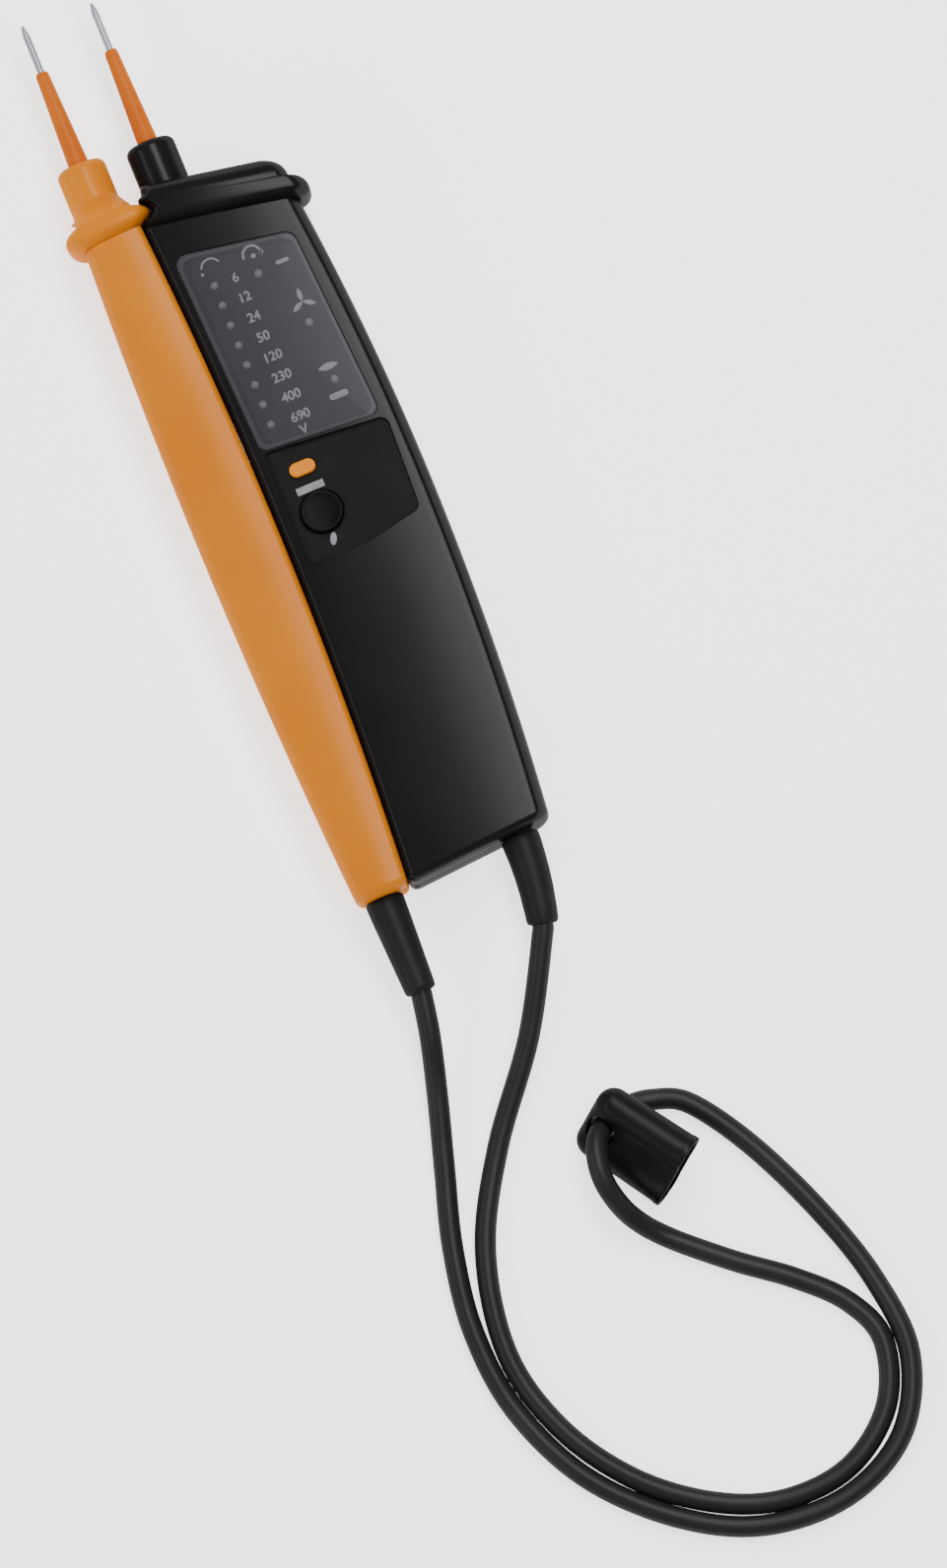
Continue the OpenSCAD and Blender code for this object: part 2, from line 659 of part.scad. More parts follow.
// Board and what it carries
module circuit_board() set_up() color(green)
    translate([board_left, board_foot_y, board_low])
        cube([board_right - board_left, board_top_y - board_foot_y, board_t]);
resistor_r = 1.6;
resistor_l = 9.6;
resistor_cap_l = 2.4;
resistor_waist_share = 0.8;
resistor_seat_share = 0.9;
resistor_lead = 6;
resistor_step = 18;
sounder_r = 7;
sounder_h = 4;
sounder_shares = [0.508, 0.328];
sounder_place = [indicator_w * sounder_shares[0], -housing_l * sounder_shares[1]];
module input_resistors() set_up() color("#7FA0B8")
    for (i = [0:2])
        translate([indicator_probe_x + i * 3 * resistor_r, board_top_y - stem_r, board_low - resistor_r])
            rotate([90, 0, 0]) resistor();
module resistor() {
    cylinder(r = resistor_r * resistor_waist_share, h = resistor_l);
    for (z = [0, resistor_l - resistor_cap_l])
        translate([0, 0, z]) cylinder(r = resistor_r, h = resistor_cap_l);
}
module sounder() set_up() color(black)
    translate([sounder_place[0], sounder_place[1], board_low - sounder_h]) difference() {
        cylinder(r = sounder_r, h = sounder_h);
        translate([0, 0, -overrun]) cylinder(r = stem_r, h = sounder_h / 2 + overrun);
    }

// Batteries, their contacts and the door with its screw
cell_places_x = [room_x + cell_gap + cell_r, room_x + 2 * cell_gap + 3 * cell_r];
cell_foot_y = room_top_y - room_l + contact_t + 2 * cell_gap;
cell_z = wall + cell_r + cell_gap;
module batteries() set_up() color("#8C9096")
    for (i = [0:1]) translate([cell_places_x[i], cell_foot_y + i * (cell_l + cell_nub_l), cell_z])
        rotate([i * 180 - 90, 0, 0]) {
            cylinder(r = cell_r, h = cell_l);
            cylinder(r = cell_nub_r, h = cell_l + cell_nub_l);
        }
module battery_contacts() set_up() color("#D8B25A")
    for (x = cell_places_x) for (y = [room_top_y - contact_t, room_top_y - room_l])
        translate([x - contact_w / 2, y, cell_z - contact_w / 2]) cube([contact_w, contact_t, contact_w]);
door_screw_place = [room_x + room_w / 2, room_top_y - room_l - door_ear / 2];
module door_outline(grow, low, high) {
    translate([room_x - door_edge - grow, room_top_y - room_l - door_ear - grow, low])
        cube([room_w + 2 * (door_edge + grow), room_l + door_ear + door_edge + 2 * grow, high]);
}
door_tongue = 5;
door_rib_pitch = 1.35;
door_rib_w = 0.6;
door_rib_h = 0.45;
module battery_door() set_up() color(black) difference() {
    union() {
        door_outline(-body_gap / 2, 0, door_t);
        translate([door_screw_place[0], door_screw_place[1], door_t / 2])
            cylinder(r = post_r - body_gap, h = wall + door_pad - fit_gap - door_t / 2);
        translate([room_x + body_gap, room_top_y - room_l + body_gap, door_t - fit_gap])
            cube([room_w - 2 * body_gap, room_wall, wall - door_t + 2 * fit_gap]);
    }
    translate([door_screw_place[0], door_screw_place[1], -overrun]) {
        cylinder(r = screw_r + fit_gap, h = wall + door_pad + 2 * overrun);
        cylinder(r = screw_head_r + fit_gap, h = overrun + door_seat);
    }
    for (i = [-2:2])
        translate([room_x + room_w / 2 - door_tongue, room_top_y - door_tongue + i * door_rib_pitch,
            -overrun])
            cube([2 * door_tongue, door_rib_w, overrun + door_rib_h]);
}
module door_screw() set_up() color(steel) screw(door_screw_place, screw_grip, door_seat);
module indicator_screws() set_up() color(steel) {
    for (p = indicator_posts) screw(p, parting_z - seat_depth + screw_grip);
    screw(indicator_nose_screw, screw_grip, nose_seat);
}

// Boots: a flange inside the tail wall, a neck through it and the taper outside
module boot_root(x, y) {
    at_axis(x, y) {
        translate([0, 0, wall + tail_round + fit_gap]) cylinder(r = boot_flange_r, h = boot_flange_t);
        translate([0, 0, -boot_round])
            cylinder(r = boot_neck_r, h = wall + tail_round + boot_flange_t + boot_round);
    }
}
module handle_boot() set_up() color(rubber) {
    boot_root(handle_boot_x, -housing_l);
    at_axis(handle_boot_x, -housing_l - boot_l) rotate_extrude() polygon([
        [0, 0], [cable_r, 0], [boot_end_r - boot_round, 0], [boot_end_r - boot_bevel, boot_bevel],
        [boot_end_r, boot_round], [boot_r, boot_l - boot_round - fit_gap],
        [boot_r - boot_bevel, boot_l - boot_bevel - fit_gap],
        [boot_r - boot_round, boot_l - fit_gap], [0, boot_l - fit_gap]]);
}
boot_end_x = indicator_boot_x - boot_end_in;
boot_end_y = tail_y(boot_end_x) - boot_l + boot_end_back;
module indicator_boot() set_up() color(rubber) {
    boot_root(indicator_boot_x, tail_y(indicator_boot_x));
    root = [indicator_boot_x, tail_y(indicator_boot_x - boot_r) - fit_gap, axis_z];
    tip = [boot_end_x, boot_end_y, axis_z - boot_end_drop];
    sweep([for (s = boot_steps_shares)
            [lerp(root[0], tip[0], pow(s, 2)), lerp(root[1], tip[1], s), lerp(root[2], tip[2], pow(s, 2))]],
        [for (s = boot_steps_shares) s == 0 ? boot_r - boot_start_in
            : s == 1 ? boot_end_r - boot_tip_in : lerp(boot_r, boot_end_r, s)], boot_sides);
}

// Slave handle shells and what they hold
module handle_front_shell() set_up() color(orange) {
    difference() {
        loft(handle_rings(parting_z + fit_gap / 2, housing_t, 0, true, 0, 0));
        loft(handle_rings(parting_z - overrun, inner_high, wall, true, wall, overrun));
        boot_seat(handle_boot_x, -housing_l);
        peg_holes(peg_r + fit_gap);
    }
    for (p = handle_posts) front_post(p);
}
module handle_back_shell() set_up() color(orange) {
    difference() {
        union() {
            difference() {
                loft(handle_rings(0, parting_z - fit_gap / 2, 0, false, 0, 0));
                loft(handle_rings(wall, parting_z + overrun, wall, false, wall, overrun));
            }
            for (p = handle_posts) back_post(p);
            for (s = slave_rib_shares)
                translate([slave_board_x - slave_board_w / 2, slave_board_y - slave_board_l * s, wall / 2])
                    cube([slave_board_w, room_wall, slave_board_z - fit_gap - wall / 2]);
        }
        for (p = handle_posts) back_post_cut(p);
        back_post_cut(handle_nose_screw, nose_seat);
        boot_seat(handle_boot_x, -housing_l);
        peg_holes(peg_r + fit_gap);
    }
}
module dock_pegs() set_up() color(steel)
    for (y = peg_places_y) translate([seam_x(y), y, axis_z]) rotate([0, 90, 0]) {
        translate([0, 0, -wall - 2 * peg_root]) cylinder(r = peg_r, h = wall + 2 * peg_root + peg_reach);
        translate([0, 0, -wall - 2 * body_gap - peg_root]) cylinder(r = peg_flange_r, h = peg_root);
    }
slave_board_x = -10.8;
slave_top_share = 0.381;
slave_length_share = 0.328;
slave_board_y = -housing_l * slave_top_share;
slave_board_l = housing_l * slave_length_share;
slave_rib_shares = [0.2, 0.8];
slave_board_w = 10;
slave_board_z = parting_z - board_t / 2;
module resistor_board() set_up() color(green) {
    translate([slave_board_x - slave_board_w / 2, slave_board_y - slave_board_l, slave_board_z])
        cube([slave_board_w, slave_board_l, board_t]);
    for (y = [slave_board_y - resistor_lead, slave_board_y - resistor_lead - resistor_step])
        translate([slave_board_x, y, slave_board_z + board_t + resistor_r * resistor_seat_share])
            rotate([90, 0, 0]) resistor();
}
module handle_screws() set_up() color(steel) {
    for (p = handle_posts) screw(p, parting_z - seat_depth + screw_grip);
    screw(handle_nose_screw, screw_grip, nose_seat);
}

// A tube of changing radius along points, with each ring square to the run
module sweep(path, radii, sides) {
    n = len(path);
    function along(i) = unit(path[min(i + 1, n - 1)] - path[max(i - 1, 0)]);
    loft([for (i = [0:n - 1]) let (d = along(i), s = unit(cross(d, [0, 0, 1])), u = cross(s, d))
        [for (k = [0:sides - 1]) let (a = 360 * (k + 1 / 2) / sides)
            path[i] + radii[i] * (s * cos(a) + u * sin(a))]]);
}

// Route of the cable, from the handle's boot round the loop, through the cap and back to the indicator's boot
route = [
    [-10.2, -216, 12], [-12.4, -227.2, 10], [-16.6, -242.2, 5.4], [-22, -260, 3], [-27.8, -280, 2.8],
    [-31, -302, 2.8], [-28.7, -325.2, 2.8], [-18.4, -348.4, 2.8], [-0.6, -367, 2.8], [20, -378, 2.8],
    [43.2, -379.2, 2.8], [62.4, -369.6, 2.8], [72.4, -350.6, 2.8], [71.2, -329.4, 2.8], [65, -308, 2.8],
    [55, -285, 2.8], [44.2, -268.4, 2.8], [35.6, -263.6, 2.8], [28.2, -262.9, 4.6], [21.5, -265.4, 9.7],
    [17.5, -269.8, 13.8], [15.6, -276.2, 15.2], [15.9, -283, 13.2], [18.8, -290.6, 7.6], [25.4, -298.6, 3.2],
    [39, -310.8, 2.8], [52, -321, 2.8], [62.6, -332, 2.8], [67.3, -344.9, 2.8], [61.4, -361.2, 2.8],
    [46.6, -372.2, 2.8], [27.8, -373.8, 2.8], [10, -367.2, 2.8], [-6.9, -353.5, 2.8], [-19.5, -334.1, 2.8],
    [-25, -311, 2.8], [-20.2, -284, 2.8], [-7, -260, 3], [11.6, -236.2, 6.6], [25.75, -211.9, 11.8],
];
cable_sides = 10;
ring_steps = 2;
function through(a, b, c, d, t) = (b * 2 + (c - a) * t + (a * 2 - b * 5 + c * 4 - d) * t * t
    + (b * 3 - a - c * 3 + d) * t * t * t) / 2;
function smooth(p, steps) = concat(
    [for (i = [0:len(p) - 2]) for (k = [0:steps - 1])
        through(p[max(i - 1, 0)], p[i], p[i + 1], p[min(i + 2, len(p) - 1)], k / steps)],
    [p[len(p) - 1]]);
module cable() set_up() color("#3C3C3E") {
    run = [for (p = smooth(route, ring_steps)) [p[0], p[1], max(p[2], cable_r)]];
    sweep(run, [for (p = run) cable_r], cable_sides);
}

// Tip cap: two barrels side by side with a web between them, a pocket for both tips and a cross hole.
// Its own axes: x across the barrels, y from the hole to the open end, z through the hole.
cap_turn = 56;
cap_roll = 42;
cap_hole_y = 5.2;
cap_place = [21.5, -265.4, 9.7];
cap_taper_share = 0.9;
cap_waist_share = 0.94;
cap_hole_flare = 1.2;
cap_hole_straight = 1.5;
cap_barrel_x = cap_w / 2 - cap_r;
module tip_cap() set_up() color("#1E1E20") translate(cap_place)
    rotate([0, 0, 270 - cap_turn]) rotate([0, cap_roll, 0]) cap_body();
module cap_body() {
    head_r = cap_r * cap_taper_share;
    straight = cap_l - head_r;
    mouth = cap_l - cap_hole_y;
    difference() {
        translate([0, mouth, 0]) union() {
            for (s = [-1, 1]) translate([s * cap_barrel_x, 0, 0]) rotate([90, 0, 0]) {
                cylinder(r1 = cap_r, r2 = head_r, h = straight);
                translate([0, 0, straight]) sphere(r = head_r);
            }
            translate([-cap_barrel_x, -straight, -head_r * cap_waist_share])
                cube([2 * cap_barrel_x, straight, 2 * head_r * cap_waist_share]);
            translate([-cap_barrel_x, -straight, 0]) rotate([0, 90, 0])
                cylinder(r = head_r * cap_waist_share, h = 2 * cap_barrel_x);
        }
        for (a = [0, 180]) rotate([a, 0, 0]) {
            cylinder(r = cap_hole_r, h = cap_r + overrun);
            translate([0, 0, cap_hole_straight])
                cylinder(r1 = cap_hole_r, r2 = cap_hole_r + cap_hole_flare,
                    h = cap_r + overrun - cap_hole_straight);
        }
        translate([0, mouth + overrun, 0]) rotate([90, 0, 0]) {
            for (s = [-1, 1]) translate([s * cap_barrel_x, 0, 0])
                cylinder(r = cap_r - cap_wall, h = cap_pocket + overrun);
            translate([-cap_barrel_x, cap_wall - head_r * cap_waist_share, 0])
                cube([2 * cap_barrel_x, 2 * (head_r * cap_waist_share - cap_wall), cap_pocket + overrun]);
        }
    }
}

indicator_front_shell();
indicator_back_shell();
indicator_nose();
indicator_sleeve();
indicator_probe();
display_window();
legend_plate();
level_lamps();
status_lamps();
control_panel();
circuit_board();
key_switches();
input_resistors();
sounder();
batteries();
battery_contacts();
battery_door();
door_screw();
indicator_screws();
indicator_boot();
round_button();
orange_key();
handle_front_shell();
handle_back_shell();
handle_nose();
handle_sleeve();
handle_probe();
dock_pegs();
resistor_board();
handle_screws();
handle_boot();
cable();
tip_cap();
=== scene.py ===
import math

import bmesh
import bpy
import numpy as np
from mathutils import Matrix, Vector


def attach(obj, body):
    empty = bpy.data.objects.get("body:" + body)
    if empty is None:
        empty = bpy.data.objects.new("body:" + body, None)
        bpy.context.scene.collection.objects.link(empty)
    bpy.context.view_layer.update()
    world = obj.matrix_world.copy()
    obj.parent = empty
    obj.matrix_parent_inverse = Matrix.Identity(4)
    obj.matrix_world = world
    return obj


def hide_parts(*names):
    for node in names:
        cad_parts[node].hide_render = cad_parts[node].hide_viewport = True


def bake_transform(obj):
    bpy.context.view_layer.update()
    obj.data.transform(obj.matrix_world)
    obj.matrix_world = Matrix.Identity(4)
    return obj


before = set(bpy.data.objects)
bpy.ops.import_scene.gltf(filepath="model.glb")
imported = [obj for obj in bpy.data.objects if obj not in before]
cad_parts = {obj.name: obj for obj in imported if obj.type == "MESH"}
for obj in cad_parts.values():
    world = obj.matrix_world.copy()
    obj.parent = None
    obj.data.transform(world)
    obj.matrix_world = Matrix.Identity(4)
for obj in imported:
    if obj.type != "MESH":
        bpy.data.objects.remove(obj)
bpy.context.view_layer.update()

# Two-pole voltage tester: black indicator unit, orange slave handle, joining cable and tip cap. Sizes are in
# millimetres on part.scad's drawing axes: x out from the seam between the housings, y from the guard line
# towards the tips, z up out of the face. Colours are sRGB hex values.


# Camera
# The photograph looks down on the face from 7 degrees off the vertical, on the cable's side, through a very
# long lens. The tester leans 22.2 degrees to the left in the picture, which is 410 mm high.
MM = 0.001
ORIGIN_X, ORIGIN_Y = 10.3575, -78.0
TILT, LEAN = math.radians(7), math.radians(22.2)
AIM = (23.1, -170.0, 13.0)
DISTANCE, PICTURE_H = 7000, 410
SENSOR_W = 36
NEAR, FAR = 50, 20000


def at(x, y, z):
    """A place on the drawing axes in the frame's metres. The frame's origin is under the tester's middle."""
    return ((x - ORIGIN_X) * MM, (y - ORIGIN_Y) * MM, z * MM)


across = Vector((1, 0, 0))
upward = Vector((0, math.cos(TILT), math.sin(TILT)))
outward = across.cross(upward)
right = across * math.cos(LEAN) - upward * math.sin(LEAN)
up = across * math.sin(LEAN) + upward * math.cos(LEAN)
stand = Vector(at(*AIM)) + outward * DISTANCE * MM
camera_data = bpy.data.cameras.new("camera")
camera_data.sensor_width = SENSOR_W
camera_data.lens = SENSOR_W * DISTANCE / PICTURE_H
camera_data.clip_start = NEAR * MM
camera_data.clip_end = FAR * MM
camera = bpy.data.objects.new("camera", camera_data)
bpy.context.scene.collection.objects.link(camera)
camera.matrix_world = Matrix((
    (right.x, up.x, outward.x, stand.x),
    (right.y, up.y, outward.y, stand.y),
    (right.z, up.z, outward.z, stand.z),
    (0, 0, 0, 1)))
bpy.context.scene.camera = camera


# Cable
# Round PVC cable, 5.6 mm thick and 0.734 m long from boot to boot, extruded smooth. It lies flat in one
# loop, climbs through the cap's cable eye, and rises at both ends into the boots that it is pushed into.
CABLE_R, SKIN_OVER, CABLE_SIDES = 2.8, 0.06, 32
ROUTE = [
    (-10.2, -216, 12), (-12.4, -227.2, 10), (-16.6, -242.2, 5.4), (-22, -260, 3), (-27.8, -280, 2.8),
    (-31, -302, 2.8), (-28.7, -325.2, 2.8), (-18.4, -348.4, 2.8), (-0.6, -367, 2.8), (20, -378, 2.8),
    (43.2, -379.2, 2.8), (62.4, -369.6, 2.8), (72.4, -350.6, 2.8), (71.2, -329.4, 2.8), (65, -308, 2.8),
    (55, -285, 2.8), (44.2, -268.4, 2.8), (35.6, -263.6, 2.8), (28.2, -262.9, 4.6), (21.5, -265.4, 9.7),
    (17.5, -269.8, 13.8), (15.6, -276.2, 15.2), (15.9, -283, 13.2), (18.8, -290.6, 7.6), (25.4, -298.6, 3.2),
    (39, -310.8, 2.8), (52, -321, 2.8), (62.6, -332, 2.8), (67.3, -344.9, 2.8), (61.4, -361.2, 2.8),
    (46.6, -372.2, 2.8), (27.8, -373.8, 2.8), (10, -367.2, 2.8), (-6.9, -353.5, 2.8), (-19.5, -334.1, 2.8),
    (-25, -311, 2.8), (-20.2, -284, 2.8), (-7, -260, 3), (11.6, -236.2, 6.6), (25.75, -211.9, 11.8),
]
ROUTE_STEPS = 8
IN_HANDLE_BOOT, IN_BLACK_BOOT = (-10.05, -213.5, 12.4), (26.4, -209.6, 12.1)
WELD = 1e-6
SHARP = 35.0
SHADE_STOPS = (0.35, 0.65)
COAT_IOR = 3.0


def linear(code):
    """sRGB hex to linear RGBA."""
    values = [int(code[i:i + 2], 16) / 255 for i in (1, 3, 5)]
    return [v / 12.92 if v <= 0.04045 else ((v + 0.055) / 1.055) ** 2.4 for v in values] + [1.0]


def add(material, kind, settings=None, links=None):
    """One shader node with its settings and its links from other nodes' outputs."""
    n = material.node_tree.nodes.new(kind)
    for key, value in (settings or {}).items():
        if key in n.inputs:
            n.inputs[key].default_value = value
        else:
            setattr(n, key, value)
    for key, source in (links or {}).items():
        material.node_tree.links.new(source, n.inputs[key])
    return n


def shade_ramp(material, source, dark, light, stops=(0.0, 1.0)):
    """Blend between two close shades of one colour, driven by a pattern."""
    ramp = add(material, "ShaderNodeValToRGB", None, {"Fac": source})
    for element, stop, code in zip(ramp.color_ramp.elements, stops, (dark, light)):
        element.position = stop
        element.color = linear(code)
    return ramp.outputs["Color"]


def finish(name, dark, light, rough, ior=1.45, patch=12.0, grain=0.25, depth=0.01, coat=0.0):
    """Moulded or turned material: two close shades in patches, and a grain in the bump and the gloss.

    Patch, grain and depth are in millimetres. A real moulded grain of 0.05 mm is too fine to show, so the
    grain is as coarse as it needs to be. Plastics start from an IOR of 1.5 and end near 1, under a thin coat
    of high IOR: its gloss is even all round, where theirs drew the pale floor as a light rim along each
    black edge.
    """
    m = bpy.data.materials.new(name)
    m.use_nodes = True
    m.node_tree.nodes.clear()
    spot = add(m, "ShaderNodeTexCoord").outputs["Object"]
    patches = add(m, "ShaderNodeTexNoise", {"Scale": 1 / (patch * MM), "Detail": 3.0}, {"Vector": spot})
    shade = shade_ramp(m, patches.outputs["Fac"], dark, light, SHADE_STOPS)
    speckle = add(m, "ShaderNodeTexNoise", {"Scale": 1 / (grain * MM), "Detail": 2.0}, {"Vector": spot})
    grains = speckle.outputs["Fac"]
    gloss = add(m, "ShaderNodeMapRange", {"To Min": rough[0], "To Max": rough[1]}, {"Value": grains})
    bump = add(m, "ShaderNodeBump", {"Strength": 0.6, "Distance": depth * MM}, {"Height": grains})
    shader = add(m, "ShaderNodeBsdfPrincipled",
                 {"IOR": ior, "Coat Weight": coat, "Coat IOR": COAT_IOR, "Coat Roughness": sum(rough) / 2},
                 {"Base Color": shade, "Roughness": gloss.outputs["Result"],
                  "Normal": bump.outputs["Normal"], "Coat Normal": bump.outputs["Normal"]})
    add(m, "ShaderNodeOutputMaterial", None, {"Surface": shader.outputs["BSDF"]})
    return m


def piece(name, points, faces, material, sharp=SHARP, smooth=True):
    """A mesh object from points in drawing millimetres."""
    mesh = bpy.data.meshes.new(name)
    mesh.from_pydata([at(*p) for p in points], [], faces)
    mesh.update()
    work = bmesh.new()
    work.from_mesh(mesh)
    bmesh.ops.remove_doubles(work, verts=work.verts, dist=WELD)
    bmesh.ops.recalc_face_normals(work, faces=work.faces)
    work.to_mesh(mesh)
    work.free()
    mesh.polygons.foreach_set("use_smooth", [smooth] * len(mesh.polygons))
    if smooth:
        mesh.set_sharp_from_angle(angle=math.radians(sharp))
    o = bpy.data.objects.new(name, mesh)
    bpy.context.scene.collection.objects.link(o)
    mesh.materials.append(material)
    return o


def loft(rings, closed=True):
    """Points and faces of a skin through rings of equal counts, with its ends closed or left open."""
    n, points, faces = len(rings[0]), [tuple(p) for r in rings for p in r], []
    for k in range(len(rings) - 1):
        for i in range(n):
            j = (i + 1) % n
            faces.append((k * n + i, k * n + j, (k + 1) * n + j, (k + 1) * n + i))
    if closed:
        faces.append(tuple(range(n - 1, -1, -1)))
        faces.append(tuple(range((len(rings) - 1) * n, len(rings) * n)))
    return points, faces


def smooth_run(points, steps):
    """Catmull-Rom run through the points, as part.scad draws it."""
    p = [np.array(q, float) for q in points]
    out = []
    for i in range(len(p) - 1):
        a, b, c, d = p[max(i - 1, 0)], p[i], p[i + 1], p[min(i + 2, len(p) - 1)]
        for k in range(steps):
            t = k / steps
            out.append((b * 2 + (c - a) * t + (a * 2 - b * 5 + c * 4 - d) * t * t
                        + (b * 3 - a - c * 3 + d) * t ** 3) / 2)
    return out + [p[-1]]


def circle(middle, way, r, sides):
    """Ring of radius r round a middle, square to the way that a path goes there."""
    way = way / np.linalg.norm(way)
    flank = np.cross(way, (0, 0, 1))
    flank = flank / np.linalg.norm(flank)
    rise = np.cross(flank, way)
    turns = np.arange(sides) * 2 * math.pi / sides
    return [middle + r * (flank * math.cos(t) + rise * math.sin(t)) for t in turns]


def tube(path, r, sides):
    """Rings of radius r along a path of points."""
    last = len(path) - 1
    return [circle(p, path[min(i + 1, last)] - path[max(i - 1, 0)], r, sides) for i, p in enumerate(path)]


# Dark grey PVC with a slow drift in shade. The lamps draw one soft band along its smooth skin.
cable_pvc = finish("cable_pvc", "#1E1E1F", "#252526", rough=(0.36, 0.48), ior=1.03, patch=30, grain=0.4,
                   depth=0.01, coat=0.064)
# The skin stands a little proud of the round, so that its flats don't fall inside it.
run = [np.array((x, y, max(z, CABLE_R))) for x, y, z in smooth_run(ROUTE, ROUTE_STEPS)]
into_boots = [np.array(IN_HANDLE_BOOT)] + run + [np.array(IN_BLACK_BOOT)]
cable = piece("joining_cable", *loft(tube(into_boots, CABLE_R + SKIN_OVER, CABLE_SIDES)), cable_pvc)
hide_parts("cable")
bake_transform(cable)


# Black housing
# Two half shells moulded in ABS, 26 mm thick together, screwed together from behind and meeting in a fine
# groove. The gently crowned face rolls off into darker sides, and openings are cut for the window, the panel
# and keys, the battery door, the screws and the docking pegs.
LENGTH, THICK, WIDE = 189.0, 26.0, 43.3
PARTING = THICK / 2
CROWN = 0.7
GUARD_Y, GUARD_SLOPE = -0.25, -0.184
TAIL_SLOPE, TAIL_R, TAIL_CLEAR = 0.077, 2.4, 0.5
BLACK_TOP_Y = -3.35
SEAM_BOW = (0.9, 3.4, 3.4, 94.5)
SIDE_BOW = (WIDE, 5.78, 5.4, 92.0)
SEAM_GAP = 0.01
GROOVE, GROOVE_LIP = 0.05, 0.3
FACE_EDGES = ((2.6, 3.6), (3.0, 10.0))
BACK_EDGES = ((1.5, 1.5), (3.5, 9.0))
WINDOW_LEFT, WINDOW_RIGHT, WINDOW_TOP, WINDOW_FOOT_Y = 3.7, 5.5, 11.8, -69.5
WINDOW_CORNERS = (2.6, 2.6, 3.4, 2.8)
WINDOW_SEAT_Z, WINDOW_GAP = 24.55, 0.04
LEGEND_SEAT_Z, LEGEND_LEDGE, LEGEND_STEP = 22.5, 1.5, 1.0
PANEL_LEFT, PANEL_RIGHT, PANEL_TOP_Y, PANEL_FOOT_Y = 4.1, 4.6, -70.3, -102
PANEL_SLANT, PANEL_LIFT = 1.2, 3.2
PANEL_CORNERS = (1.6, 1.6, 2.4, 2.6, 1.6)
PANEL_SEAT_Z, PANEL_GAP = 24.15, 0.12
KEYS_SEAT_Z, KEYS_LEDGE = 21.5, 1.5
DISPLAY_SLOPE = 0.06
DOOR_LEFT, DOOR_RIGHT, DOOR_TAIL_Y, DOOR_TOP_Y, DOOR_SEAT_Z = 8.85, 34.35, -170.35, -113.65, 2.2
SCREWS = ((6.2, -108.49), (37.4, -108.49), (6.2, -180.0), (33.4, -175.8))
NOSE_SCREW_X, NOSE_SCREW_BACK = 22.0, 6.4
SCREW_WELL_R, SCREW_SEAT_Z = 2.4, 3.0
PEGS_Y = (-32.13, -158.0)
PEG_HOLE_R, PEG_HOLE_OUT, PEG_HOLE_IN = 2.3, 4, 6
OVER_FACE, UNDER_BACK = 30, -2
CUT_SHARP = 28
POINT_R = 1e-3
CORNER_STEPS, FACE_STEPS, TAIL_STEPS, BODY_STEPS = 11, 26, 8, 61


def bow(y, out, top, tail, peak):
    """How far out a long edge lies at y: furthest at its peak, drawn in towards guard and tail."""
    return out - (top * ((y + peak) / peak) ** 2 if y > -peak else tail * ((y + peak) / (LENGTH - peak)) ** 2)


def seam_x(y):
    return bow(y, *SEAM_BOW)


def side_x(y):
    return bow(y, *SIDE_BOW)


def guard_y(x):
    return GUARD_Y + GUARD_SLOPE * x


def face_z(x, left, right, top=THICK, crown=CROWN):
    """Height of the crowned face at x."""
    return top - crown * ((2 * x - left - right) / (right - left)) ** 2


def half_section(left, right, edges, front, inset, crown):
    """Closed outline in x and z of a half shell: a lip where it parts, elliptical edges, a crowned face."""
    left, right = left + inset, right - inset
    low, top = PARTING + GROOVE, THICK - inset
    (left_w, left_h), (right_w, right_h) = edges
    face_l, face_r = left + left_w, right - right_w
    edge = top - crown
    turns = [math.radians(a) for a in np.linspace(0, 90, CORNER_STEPS)]
    out = [(right - GROOVE_LIP, low), (right, low + GROOVE_LIP)]
    out += [(right - right_w * (1 - math.cos(t)), edge - right_h * (1 - math.sin(t))) for t in turns]
    out += [(x, face_z(x, face_l, face_r, top, crown)) for x in np.linspace(face_r, face_l, FACE_STEPS)[1:-1]]
    out += [(left + left_w * (1 - math.cos(t)), edge - left_h * (1 - math.sin(t))) for t in turns[::-1]]
    out += [(left, low + GROOVE_LIP), (left + GROOVE_LIP, low)]
    return out if front else [(x, THICK - z) for x, z in out]


def shell(left_at, right_at, top_y, slopes, edges, front, crown=CROWN):
    """Skin of a half shell from its rounded tail to its top. The slopes are those of its tail and its top."""
    body = top_y + LENGTH
    turns = np.linspace(0, math.pi / 2, TAIL_STEPS)
    places = [(TAIL_R * (1 - math.cos(t)), TAIL_R * (1 - math.sin(t))) for t in turns]
    places += [(s, 0) for s in np.linspace(0, body, BODY_STEPS) if s > TAIL_R + TAIL_CLEAR]
    rings = []
    for along, inset in places:
        share = along / body
        y = along - LENGTH
        slope = slopes[0] + (slopes[1] - slopes[0]) * share
        outline = half_section(left_at(y), right_at(y + slope * right_at(y)), edges, front, inset, crown)
        rings.append([(x, y + slope * x, z) for x, z in outline])
    return loft(rings)


def carve(o, *cutters):
    """Cuts solids out of a piece and takes them away."""
    for c in cutters:
        m = o.modifiers.new(c.name, "BOOLEAN")
        m.object, m.operation, m.solver = c, "DIFFERENCE", "EXACT"
    bpy.context.view_layer.update()
    mesh = bpy.data.meshes.new_from_object(o.evaluated_get(bpy.context.evaluated_depsgraph_get()))
    o.modifiers.clear()
    o.data = mesh
    mesh.polygons.foreach_set("use_smooth", [True] * len(mesh.polygons))
    mesh.set_sharp_from_angle(angle=math.radians(CUT_SHARP))
    for c in cutters:
        bpy.data.objects.remove(c)


def cutter(name, outline, low, high):
    """Upright solid to cut with."""
    return piece(name, *loft([[(x, y, z) for x, y in outline] for z in (low, high)]), black_abs)


def oblong(left, right, foot, top):
    return [(left, foot), (right, foot), (right, top), (left, top)]


